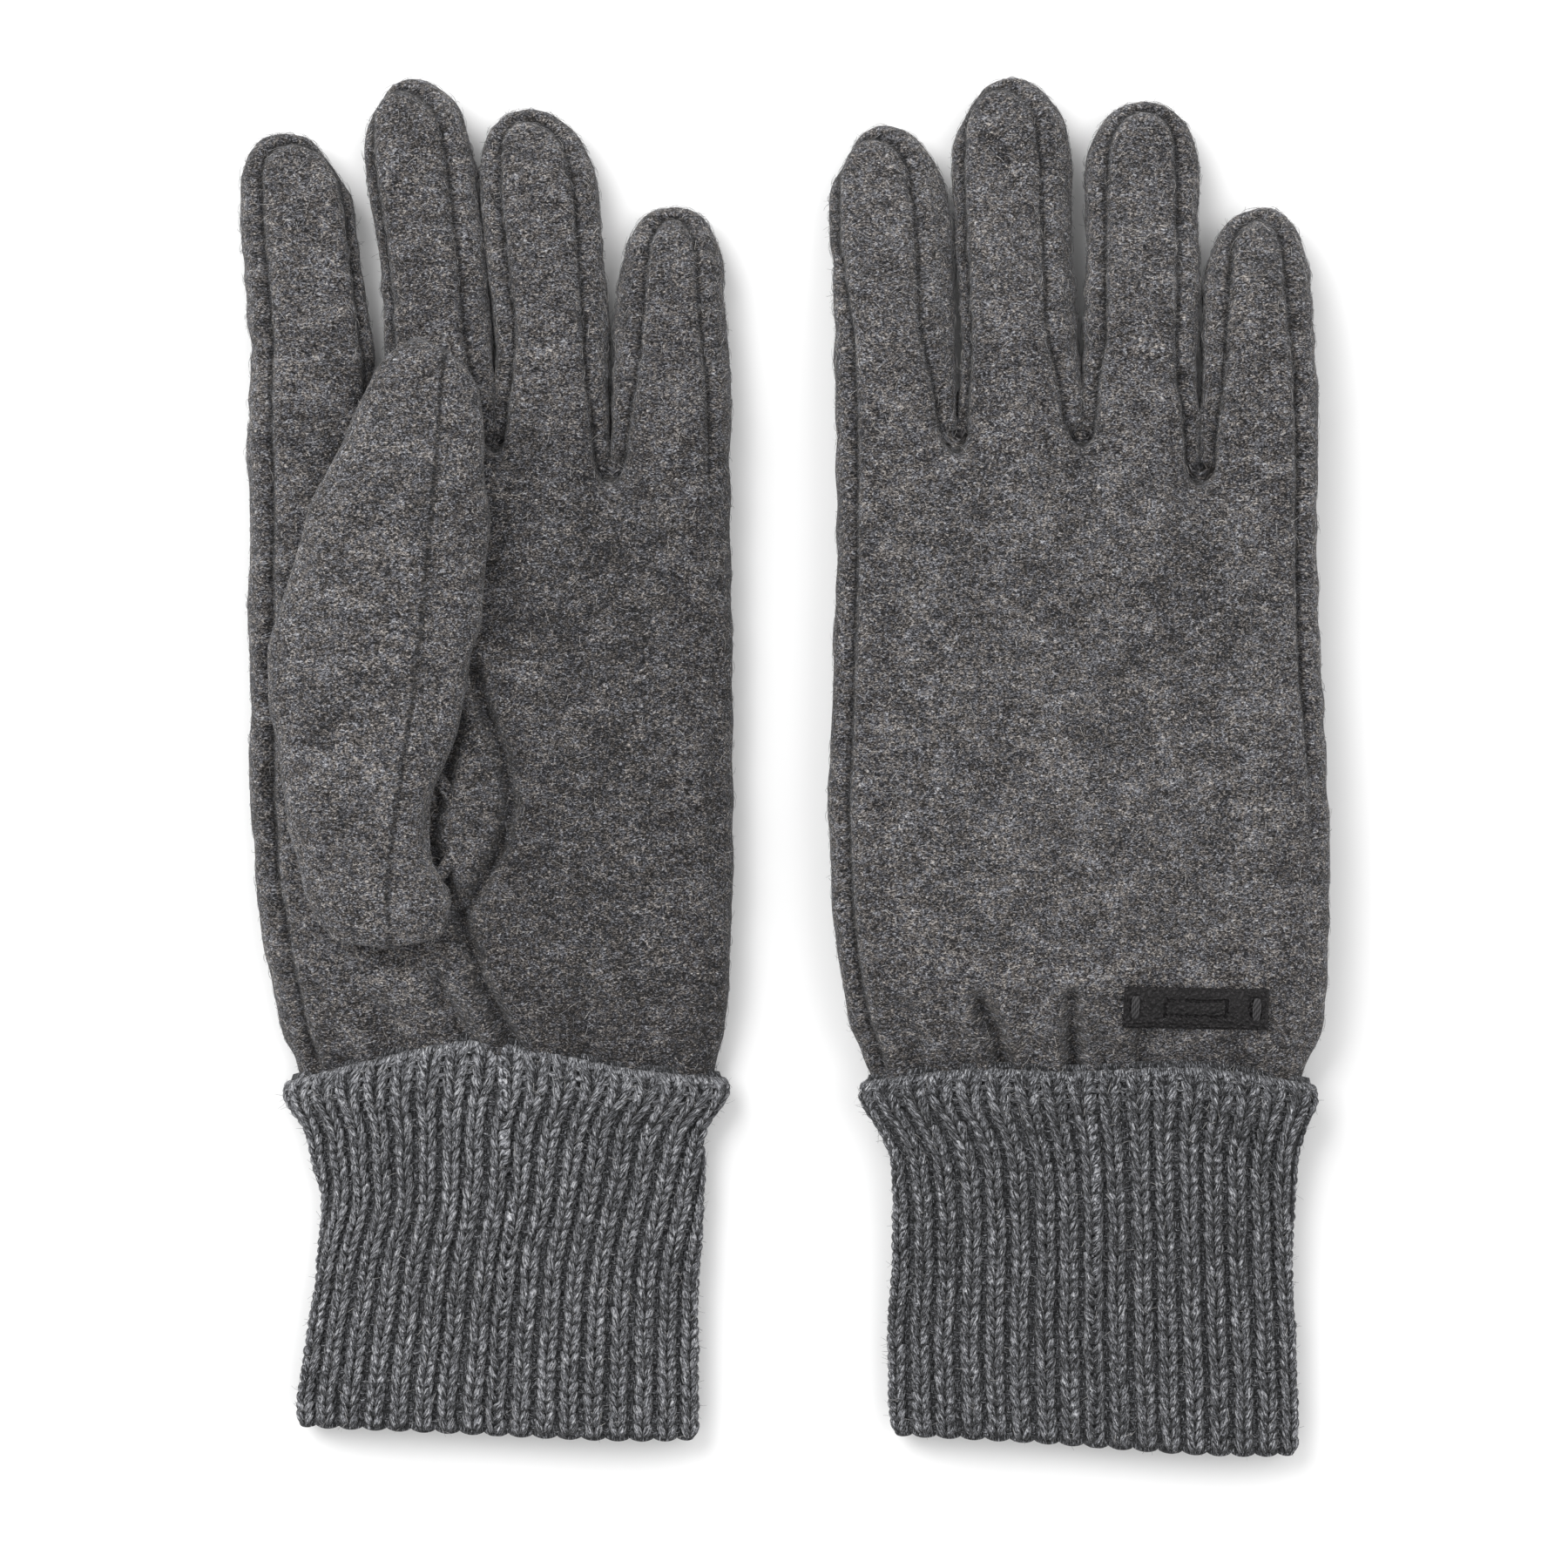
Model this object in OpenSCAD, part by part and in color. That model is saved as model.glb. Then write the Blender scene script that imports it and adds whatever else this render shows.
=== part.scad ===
// A pair of wool gloves with rib-knit cuffs, laid flat side by side.
// Left glove palm up with its thumb folded over the palm, right glove back up
// with its thumb under the palm. Millimetres, +Z up, fingertips towards +Y.

/* [Hand] */
// Wrist seam to the webs between the fingers
body_l = 134; // [100:1:170]
// Width of the hand part at the wrist seam
wrist_w = 96.6; // [70:0.2:130]
// Height of a glove lying flat
loft = 15; // [11:0.5:22]
// Free table between the two gloves
pair_gap = 20.6; // [5:0.2:80]

/* [Fingers] */
// Width of the index finger at its knuckle
index_w = 27.2; // [20:0.2:36]
// Width of the middle finger
middle_w = 23.4; // [18:0.2:34]
// Width of the ring finger
ring_w = 24; // [18:0.2:34]
// Width of the little finger
little_w = 24.4; // [16:0.2:32]
// Space between neighbouring fingers at the knuckles
finger_gap = 1.9; // [1:0.1:6]
// How far the little finger sits in from the edge of the palm
little_in = 1.7; // [0:0.1:6]
// How much narrower a finger is near its tip
tip_narrow = 2.4; // [0:0.1:6]
// Index finger, web to tip
index_l = 66; // [50:1:90]
// Middle finger, web to tip
middle_l = 77.6; // [60:0.2:100]
// Ring finger, web to tip
ring_l = 72; // [55:1:95]
// Little finger, its own lower web to tip
little_l = 56; // [42:1:75]
// How much lower the web of the little finger sits
little_drop = 6.5; // [0:0.5:15]

/* [Thumb] */
// Middle of the thumb seam ring to the thumb tip
thumb_l = 104.6; // [80:0.2:130]
// Widest part of the folded thumb
thumb_w = 42.8; // [32:0.2:55]
// Wrist seam to the middle of the thumb opening
thumb_up = 48.5; // [30:0.5:80]
// Index-side edge of the palm to the middle of the thumb opening
thumb_in = 30.2; // [22:0.2:50]
// Height of the thumb lying on top of the palm
thumb_loft = 11; // [8:0.5:16]
// Height of the thumb pressed flat under the palm
tucked_loft = 8.4; // [7:0.2:14]
// Radius of the thumb opening in the palm
thumb_hole_r = 14.5; // [10:0.5:20]

/* [Cuff] */
// Width of the rib cuff at its mouth
cuff_w = 87.4; // [70:0.2:110]
// Length of the rib cuff below its band
cuff_l = 75; // [40:1:120]
// Height of the cuff lying flat
cuff_loft = 13; // [9:0.5:20]
// Thickness of the rib knit
knit_t = 2.4; // [1.5:0.1:4]
// Ribs on each face of the cuff
ribs = 16; // [8:1:26]
// Length of the smooth band at the top of the cuff
band_l = 9.6; // [4:0.2:20]

/* [Cloth] */
// Thickness of the brushed wool cloth
cloth = 1.5; // [0.8:0.1:2.5]

/* [Label] */
// Length of the leather label
label_l = 31.6; // [15:0.2:50]
// Width of the leather label
label_w = 9; // [5:0.2:20]
// Thickness of the leather
label_t = 1.2; // [0.6:0.1:2.5]

/* [Clearances] */
// Gap where one moving piece ends and the next begins
joint_gap = 0.6; // [0.4:0.1:2]
// Gap between the palm and the thumb lying on it
lay_gap = 0.8; // [0.5:0.1:2]
// Free table under the lowest edge of a drooping piece
floor_gap = 0.2; // [0.1:0.1:1]

/* [Hidden] */
$fn = 96;
NAMES = ["palm_panel", "back_panel", "index_edge_strip", "little_edge_strip",
    "fourchette_index_middle", "fourchette_middle_ring", "fourchette_ring_little",
    "thumb_gusset", "thumb_outer_half", "thumb_inner_half", "thumb_under_panel",
    "wrist_band", "rib_cuff",
    "index_front", "index_back", "index_strip",
    "middle_front", "middle_back", "middle_strip",
    "ring_front", "ring_back", "ring_strip",
    "little_front", "little_back", "little_strip"];
SIDES = ["left_", "right_"];

// Heights and lines along Y
wrist_y = -64;
web_y = wrist_y + body_l;
webs_y = [web_y, web_y, web_y - little_drop];
tips_y = [web_y + index_l, web_y + middle_l, web_y + ring_l,
    web_y - little_drop + little_l];
hinge_gap = joint_gap / 2;
lofts = [thumb_loft, tucked_loft];
pair_h = loft + lay_gap + tucked_loft;
lift = pair_h - loft - floor_gap;

// Fingers lie side by side across the palm, and each leans by its own angle
widths = [index_w, middle_w, ring_w, little_w];
palm_w = index_w + middle_w + ring_w + little_w + 3 * finger_gap + little_in;
glove_x = palm_w / 2 + pair_gap / 2;
pair_x = 0.53;
lean = [[4.4, 5.8, 4.2, -0.4], [1.8, 1.6, -1.4, -1.2]];
web_slit = 0.6;
wrist_u = 2.8;
palm_taper = 50;

// Thumb: round heel and tip, widest over the ball, leaning towards the palm
ring_u = thumb_in - palm_w / 2;
ring_y = wrist_y + thumb_up;
heel = 0.55 * thumb_w;
heel_share = 0.26;
tip_share = 0.09;
slim = 0.36;
thumb_tip_y = ring_y + thumb_l;
seam_top = [ring_u + 13.8, ring_y + thumb_l + 5];
seam_end = [ring_u + 1.5, ring_y - thumb_w];
gusset_w = 2.6;
gusset_rise = 0.3;

// Knuckle lines: index and middle bend just beyond the folded thumb's tip
past_thumb = thumb_tip_y + 5;
knuckles_y = [max(web_y + 24, past_thumb), max(web_y + 24, past_thumb),
    web_y + 26, web_y - little_drop + 22.5];
knuckles_u = [for (i = 0, u = index_w / 2 - palm_w / 2; i < 4;
    u = u + (i < 3 ? (widths[i] + widths[i + 1]) / 2 + finger_gap : 0), i = i + 1) u];

// Cuff
cuff_u = wrist_u + 1;
cuff_top = wrist_y - joint_gap - band_l;
cuff_end = cuff_top - cuff_l;
waist_in = 2.2;
rib_pitch = cuff_w / (ribs + 1);
rib_groove_w = 1.4;
rib_groove_d = 0.6;
band_low_w = cuff_w + 0.6;

label_at = [25.5, wrist_y + 9.4];
label_tilt = -1.4;
stitch_at = 0.42 * label_l;
stitch_w = 2;
stitch_l = 5.6;
frame_in = 1.4;
frame_w = 0.5;

// Angle by which a piece of plan length l droops from the palm to the table
function droop(s, l) = s == 0 ? 0 : atan(lift / l);
function finger_droop(s, i) = droop(s, tips_y[i] - knuckles_y[i]);
cuff_droop = atan(lift / (wrist_y - cuff_end));

// Tip of a finger in its own plane, middle and half width at a height y
function tip_y(s, i) =
    knuckles_y[i] + (tips_y[i] - knuckles_y[i]) / cos(finger_droop(s, i));
function tip_radius(i) = (widths[i] - tip_narrow) / 2;
function mid(s, i, y) = knuckles_u[i] - tan(lean[s][i]) * (y - knuckles_y[i]);

// Outline of the hand part, drawn in by d, its open ends made longer by e
function edge(side, d, e, n = 6) = let (w = wrist_w / 2 + side * wrist_u)
    [for (k = [0:n]) [side * (w + (palm_w / 2 - w) * sin(90 * k / n) - d),
        wrist_y + palm_taper * k / n - (k == 0 ? e : 0)]];
function knuckle(i, d, e) = let (y = knuckles_y[i] - hinge_gap + e,
    h = widths[i] / 2 - d) [[knuckles_u[i] - h, y], [knuckles_u[i] + h, y]];
function web_u(k) = knuckles_u[k] + (widths[k] + finger_gap) / 2;
function web(k, d) = let (h = web_slit / 2 + d)
    [[web_u(k) - h, webs_y[k] - d], [web_u(k) + h, webs_y[k] - d]];
function flip(p) = [for (k = [len(p) - 1:-1:0]) p[k]];
function hand(d, e) = concat(edge(-1, d, e), knuckle(0, d, e), web(0, d),
    knuckle(1, d, e), web(1, d), knuckle(2, d, e), web(2, d), knuckle(3, d, e),
    flip(edge(1, d, e)));

module hand_wall(x0, x1, y0) {
    translate([0, 0, cloth]) linear_extrude(loft - 2 * cloth)
        intersection() {
            difference() {
                polygon(hand(0, 0));
                polygon(hand(cloth, 1));
            }
            translate([x0, y0]) square([x1 - x0, 2 * body_l]);
        }
}

module finger_outline(s, i, d = 0) {
    r = tip_radius(i);
    y0 = knuckles_y[i] + hinge_gap - (d > 0 ? 1 : 0);
    y1 = tip_y(s, i) - r;
    h = widths[i] / 2 - d;
    intersection() {
        union() {
            polygon([[mid(s, i, y0) - h, y0], [mid(s, i, y0) + h, y0],
                [mid(s, i, y1) + r - d, y1], [mid(s, i, y1) - r + d, y1]]);
            translate([mid(s, i, y1), y1]) circle(r - d);
        }
        translate([mid(s, i, y0) - 2 * widths[i], y0])
            square([4 * widths[i], 2 * tips_y[i]]);
    }
}

// Thumb outline drawn in by d: middle and half width at share t of its length
function ease(t) = (1 - cos(180 * min(1, max(0, t)))) / 2;
function thumb_mid(t) = ring_u - 2.5 + 11 * ease((t - 0.3) / 0.62);
function thumb_end(t) = t < heel_share ? sqrt(1 - pow(1 - t / heel_share, 2))
    : t > 1 - tip_share ? sqrt(max(0, 1 - pow((t - 1 + tip_share) / tip_share, 2))) : 1;
function thumb_half_w(t, d) =
    (thumb_w / 2 * (1 - slim * ease((t - 0.34) / 0.56)) - d) * thumb_end(t);
function thumb_at(t, side, d) = [thumb_mid(t) + side * thumb_half_w(t, d),
    ring_y - heel + d + t * (thumb_l + heel - 2 * d)];
module thumb_outline(d = 0, n = 28) {
    polygon(concat(
        [for (k = [0:n]) thumb_at((1 - cos(180 * k / n)) / 2, 1, d)],
        [for (k = [n - 1:-1:1]) thumb_at((1 - cos(180 * k / n)) / 2, -1, d)]));
}

// Half width of the cuff at share t of its length
function cuff_half(t) = cuff_w / 2 - waist_in * sin(180 * pow(t, 0.7));
function cuff_side(side, d, e, n = 8) = [for (k = [0:n])
    [cuff_u + side * (cuff_half(k / n) - d),
        cuff_top - cuff_l * k / n + (k == 0 ? e : k == n ? -e : 0)]];
function cuff_shape(d, e) = concat(cuff_side(-1, d, e), flip(cuff_side(1, d, e)));
function band_shape(d, e) = let (a = wrist_w / 2 - d, b = band_low_w / 2 - d)
    [[wrist_u - a, wrist_y - joint_gap + e], [wrist_u + a, wrist_y - joint_gap + e],
        [cuff_u + b, cuff_top - e], [cuff_u - b, cuff_top - e]];

// Puts a glove drawn back down, palm up, in its place on the table
module laid(s) {
    if (s == 0) translate([pair_x - glove_x, 0, 0]) children();
    else translate([pair_x + glove_x, 0, pair_h]) mirror([0, 0, 1]) children();
}

// Lets a piece droop about a line across the palm side
module drooped(y, a) {
    translate([0, y, loft]) rotate([a, 0, 0]) translate([0, -y, -loft]) children();
}

module palm_panel(s) {
    color("#5a5858") laid(s) translate([0, 0, loft - cloth])
        linear_extrude(cloth) difference() {
            polygon(hand(0, 0));
            translate([ring_u, ring_y]) circle(thumb_hole_r + gusset_w);
        }
}

module back_panel(s) {
    color("#5e5b5b") laid(s) linear_extrude(cloth) polygon(hand(0, 0));
}

module index_edge_strip(s) {
    color("#565353") laid(s) hand_wall(-palm_w, knuckles_u[0], wrist_y - 1);
}

module little_edge_strip(s) {
    color("#565353") laid(s) hand_wall(knuckles_u[3], palm_w, wrist_y - 1);
}

module fourchette(s, k) {
    color("#514f4f") laid(s)
        hand_wall(knuckles_u[k], knuckles_u[k + 1], webs_y[k] - 10);
}

module thumb_gusset(s) {
    color("#636060") laid(s) translate([ring_u, ring_y, loft - cloth])
        difference() {
            cylinder(r = thumb_hole_r + gusset_w, h = cloth + gusset_rise);
            translate([0, 0, -1]) cylinder(r = thumb_hole_r, h = cloth + 3);
        }
}

module thumb_under_panel(s) {
    color("#5e5b5b") laid(s) translate([0, 0, loft + lay_gap])
        linear_extrude(cloth) difference() {
            thumb_outline();
            translate([ring_u, ring_y]) circle(thumb_hole_r);
        }
}

module thumb_half(s, side) {
    rise = lofts[s] - cloth;
    color("#646162") laid(s) translate([0, 0, loft + lay_gap + cloth])
        difference() {
            linear_extrude(rise) intersection() {
                thumb_outline();
                polygon([seam_end, seam_top, seam_top + [side * palm_w, 0],
                    seam_end + [side * palm_w, 0]]);
            }
            translate([0, 0, -1]) linear_extrude(rise - cloth + 1)
                thumb_outline(cloth);
        }
}

module finger_plate(s, i, z) {
    color("#5b5859") laid(s) drooped(knuckles_y[i], finger_droop(s, i))
        translate([0, 0, z]) linear_extrude(cloth) finger_outline(s, i);
}

module finger_strip(s, i) {
    color("#514f4f") laid(s) drooped(knuckles_y[i], finger_droop(s, i))
        translate([0, 0, cloth]) linear_extrude(loft - 2 * cloth) difference() {
            finger_outline(s, i);
            finger_outline(s, i, cloth);
        }
}

module cuffed(s) {
    laid(s) drooped(wrist_y, s == 0 ? 0 : -cuff_droop)
        translate([0, 0, s == 0 ? 0 : loft - cuff_loft]) children();
}

module wrist_band(s) {
    color("#6b696b") laid(s) drooped(wrist_y, s == 0 ? 0 : -cuff_droop)
        difference() {
            linear_extrude(loft) polygon(band_shape(0, 0));
            translate([0, 0, knit_t]) linear_extrude(loft - 2 * knit_t)
                polygon(band_shape(knit_t, 1));
        }
}

module rib_cuff(s) {
    color("#545457") cuffed(s) difference() {
        linear_extrude(cuff_loft) polygon(cuff_shape(0, 0));
        translate([0, 0, knit_t]) linear_extrude(cuff_loft - 2 * knit_t)
            polygon(cuff_shape(knit_t, 1));
        for (k = [0:ribs - 1], z = [-1, cuff_loft - rib_groove_d])
            translate([cuff_u + (k - (ribs - 1) / 2) * rib_pitch - rib_groove_w / 2,
                cuff_end - 1, z])
                cube([rib_groove_w, cuff_l + 2, 1 + rib_groove_d]);
    }
}

module on_label(z) {
    translate([pair_x + glove_x + label_at[0], label_at[1], pair_h + z])
        rotate([0, 0, label_tilt]) children();
}

module right_label() {
    color("#2d2a2c") on_label(0) difference() {
        linear_extrude(label_t) square([label_l, label_w], center = true);
        translate([0, 0, label_t - 0.3]) linear_extrude(1) difference() {
            square([0.62 * label_l, label_w - 2 * frame_in], center = true);
            square([0.62 * label_l - 2 * frame_w,
                label_w - 2 * frame_in - 2 * frame_w], center = true);
        }
    }
}

module right_label_threads() {
    color("#3a3839") on_label(label_t) for (side = [-1, 1])
        translate([side * stitch_at, 0, 0]) linear_extrude(0.6)
            square([stitch_w, stitch_l], center = true);
}

palm_panel(0);  // left_palm_panel
back_panel(0);  // left_back_panel
index_edge_strip(0);  // left_index_edge_strip
little_edge_strip(0);  // left_little_edge_strip
fourchette(0, 0);  // left_fourchette_index_middle
fourchette(0, 1);  // left_fourchette_middle_ring
fourchette(0, 2);  // left_fourchette_ring_little
thumb_gusset(0);  // left_thumb_gusset
thumb_half(0, -1);  // left_thumb_outer_half
thumb_half(0, 1);  // left_thumb_inner_half
thumb_under_panel(0);  // left_thumb_under_panel
wrist_band(0);  // left_wrist_band
rib_cuff(0);  // left_rib_cuff
finger_plate(0, 0, loft - cloth);  // left_index_front
finger_plate(0, 0, 0);  // left_index_back
finger_strip(0, 0);  // left_index_strip
finger_plate(0, 1, loft - cloth);  // left_middle_front
finger_plate(0, 1, 0);  // left_middle_back
finger_strip(0, 1);  // left_middle_strip
finger_plate(0, 2, loft - cloth);  // left_ring_front
finger_plate(0, 2, 0);  // left_ring_back
finger_strip(0, 2);  // left_ring_strip
finger_plate(0, 3, loft - cloth);  // left_little_front
finger_plate(0, 3, 0);  // left_little_back
finger_strip(0, 3);  // left_little_strip

palm_panel(1);  // right_palm_panel
back_panel(1);  // right_back_panel
index_edge_strip(1);  // right_index_edge_strip
little_edge_strip(1);  // right_little_edge_strip
fourchette(1, 0);  // right_fourchette_index_middle
fourchette(1, 1);  // right_fourchette_middle_ring
fourchette(1, 2);  // right_fourchette_ring_little
thumb_gusset(1);  // right_thumb_gusset
thumb_half(1, -1);  // right_thumb_outer_half
thumb_half(1, 1);  // right_thumb_inner_half
thumb_under_panel(1);  // right_thumb_under_panel
wrist_band(1);  // right_wrist_band
rib_cuff(1);  // right_rib_cuff
finger_plate(1, 0, loft - cloth);  // right_index_front
finger_plate(1, 0, 0);  // right_index_back
finger_strip(1, 0);  // right_index_strip
finger_plate(1, 1, loft - cloth);  // right_middle_front
finger_plate(1, 1, 0);  // right_middle_back
finger_strip(1, 1);  // right_middle_strip
finger_plate(1, 2, loft - cloth);  // right_ring_front
finger_plate(1, 2, 0);  // right_ring_back
finger_strip(1, 2);  // right_ring_strip
finger_plate(1, 3, loft - cloth);  // right_little_front
finger_plate(1, 3, 0);  // right_little_back
finger_strip(1, 3);  // right_little_strip
right_label();
right_label_threads();
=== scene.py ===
import math

import bpy
import numpy as np
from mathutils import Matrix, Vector


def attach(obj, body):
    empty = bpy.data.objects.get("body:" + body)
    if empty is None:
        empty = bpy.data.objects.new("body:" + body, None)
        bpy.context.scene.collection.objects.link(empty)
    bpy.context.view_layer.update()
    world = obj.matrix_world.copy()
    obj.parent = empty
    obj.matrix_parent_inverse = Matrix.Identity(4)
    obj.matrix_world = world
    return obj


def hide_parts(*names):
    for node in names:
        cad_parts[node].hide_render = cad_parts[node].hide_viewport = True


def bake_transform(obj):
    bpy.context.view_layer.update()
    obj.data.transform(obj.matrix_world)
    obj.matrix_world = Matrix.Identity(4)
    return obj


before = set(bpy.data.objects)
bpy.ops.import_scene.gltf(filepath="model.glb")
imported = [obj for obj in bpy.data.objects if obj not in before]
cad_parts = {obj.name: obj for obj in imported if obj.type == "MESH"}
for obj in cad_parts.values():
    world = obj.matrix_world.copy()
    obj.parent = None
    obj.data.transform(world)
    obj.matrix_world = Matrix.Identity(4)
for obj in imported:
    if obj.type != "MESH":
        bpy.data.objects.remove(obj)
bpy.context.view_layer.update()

# A pair of wool gloves: brushed jersey hands sewn from panels, cuffs knitted in rib, and a leather
# label. Shapes are worked out in millimetres and put into the meshes in metres.
mm = 0.001


def linear(hexColour):
    # sRGB hex to the linear colour a shader wants: the sRGB curve undone for each channel
    channels = [int(hexColour[k:k + 2], 16) / 255 for k in (1, 3, 5)]
    return tuple(c / 12.92 if c <= 0.04045 else ((c + 0.055) / 1.055) ** 2.4 for c in channels) + (1.0,)


def smooth(x, a, b):
    # smooth step: 0 before a, 1 after b, 3t^2 - 2t^3 between
    t = np.clip((x - a) / (b - a), 0, 1)
    return t * t * (3 - 2 * t)


def bell(x, width):
    # 1 in the middle, falling away on both sides: exp(-(x / width)^2)
    return np.exp(-(x / width) ** 2)


def softWaves(points, wavelength, seed, count=9):
    # gentle lumps: a sum of sine waves in random directions, about -1 to 1
    rng = np.random.default_rng(seed)
    ways = rng.normal(size=(count, points.shape[1]))
    ways *= (2 * math.pi / wavelength * rng.uniform(0.7, 1.4, (count, 1))
             / np.linalg.norm(ways, axis=1, keepdims=True))
    return np.sin(points @ ways.T + rng.uniform(0, 6.28, count)).sum(1) / math.sqrt(count) * 0.9


def curveThrough(x, places, values):
    # a smooth curve through a few points: cubic pieces whose slopes are those of their neighbours
    order = np.argsort(places)
    p, v = np.asarray(places, float)[order], np.asarray(values, float)[order]
    slope = np.gradient(v, p)
    k = np.clip(np.searchsorted(p, x) - 1, 0, len(p) - 2)
    h = p[k + 1] - p[k]
    t = np.clip((x - p[k]) / h, 0, 1)
    return ((2 * t ** 3 - 3 * t ** 2 + 1) * v[k] + (t ** 3 - 2 * t ** 2 + t) * h * slope[k]
            + (3 * t ** 2 - 2 * t ** 3) * v[k + 1] + (t ** 3 - t ** 2) * h * slope[k + 1])


def gridFaces(rows, cols, start=0):
    # quads of a rows x cols grid whose columns close on themselves
    r, c = np.meshgrid(np.arange(rows - 1), np.arange(cols), indexing="ij")
    a, b = r * cols + c, r * cols + (c + 1) % cols
    return np.stack([a, b, b + cols, a + cols], -1).reshape(-1, 4) + start


def ringFaces(rows, cols):
    # the same grid with its last row joined to its first, as on a ring-shaped tube
    last, first = (rows - 1) * cols + np.arange(cols), np.arange(cols)
    join = np.stack([last, np.roll(last, -1), np.roll(first, -1), first], -1)
    return np.concatenate([gridFaces(rows, cols), join])


def closedLoft(rings, start=0):
    # rings (rows, cols, 3) closed at both ends with a point in the middle of the last rings
    rows, cols = rings.shape[:2]
    points = np.concatenate([rings.reshape(-1, 3), rings[:1].mean(1), rings[-1:].mean(1)])
    k = np.arange(cols)
    low, high = rows * cols, rows * cols + 1
    caps = np.concatenate([
        np.stack([(k + 1) % cols, k, np.full(cols, low)], -1),
        np.stack([(rows - 1) * cols + k, (rows - 1) * cols + (k + 1) % cols, np.full(cols, high)], -1)])
    return points, gridFaces(rows, cols, start), caps + start


def makeMesh(name, points, faceSets):
    # points in millimetres; faceSets is a list of (n, 3) or (n, 4) whole-number arrays
    mesh = bpy.data.meshes.new(name)
    mesh.vertices.add(len(points))
    mesh.vertices.foreach_set("co", (np.asarray(points, float) * mm).astype(np.float32).ravel())
    loops = np.concatenate([f.ravel() for f in faceSets]).astype(np.int32)
    totals = np.concatenate([np.full(len(f), f.shape[1]) for f in faceSets])
    mesh.loops.add(len(loops))
    mesh.loops.foreach_set("vertex_index", loops)
    mesh.polygons.add(len(totals))
    mesh.polygons.foreach_set("loop_start", np.concatenate([[0], np.cumsum(totals)[:-1]]).astype(np.int32))
    mesh.polygons.foreach_set("use_smooth", np.full(len(totals), True))
    mesh.update(calc_edges=True)
    return mesh


def makePiece(name, points, faceSets, material):
    piece = bpy.data.objects.new(name, makeMesh(name, points, faceSets))
    bpy.context.scene.collection.objects.link(piece)
    piece.data.materials.append(material)
    return piece


def setValues(piece, name, values):
    # a number or a vector for each vertex, which the material reads by name
    values = np.asarray(values, np.float32)
    kind, field = ("FLOAT", "value") if values.ndim == 1 else ("FLOAT_VECTOR", "vector")
    layer = piece.data.attributes.new(name, kind, "POINT")
    layer.data.foreach_set(field, values.ravel())


def markCloth(piece, rest, gap, run):
    # what the wool material reads: its place at rest, the distance to a seam and the place along it
    setValues(piece, "restPlace", rest * mm)
    setValues(piece, "seamGap", gap)
    setValues(piece, "seamRun", run)


def addNode(tree, kind, links=None, **settings):
    # one node with its settings; links gives a value or an output socket for each input
    n = tree.nodes.new(kind)
    for key, value in settings.items():
        setattr(n, key, value)
    for key, value in (links or {}).items():
        if isinstance(value, bpy.types.NodeSocket):
            tree.links.new(value, n.inputs[key])
        else:
            n.inputs[key].default_value = value
    return n


def newMaterial(name, shine):
    # a Principled material; shine sets the sockets that are the same all over
    material = bpy.data.materials.new(name)
    material.use_nodes = True
    tree = material.node_tree
    tree.nodes.clear()
    shader = addNode(tree, "ShaderNodeBsdfPrincipled", shine)
    addNode(tree, "ShaderNodeOutputMaterial", {"Surface": shader.outputs[0]})
    return material, tree, shader


def rampOf(tree, source, stops):
    # a colour ramp over stops of place and sRGB hex
    ramp = addNode(tree, "ShaderNodeValToRGB", {"Fac": source})
    elements = ramp.color_ramp.elements
    while len(elements) > 1:
        elements.remove(elements[0])
    elements[0].position, elements[0].color = stops[0][0], linear(stops[0][1])
    for place, colour in stops[1:]:
        elements.new(place).color = linear(colour)
    return ramp.outputs["Color"]


def addBump(tree, shader, height, strength, distance):
    bump = addNode(tree, "ShaderNodeBump", {"Height": height, "Strength": strength, "Distance": distance})
    tree.links.new(bump.outputs[0], shader.inputs["Normal"])


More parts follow.
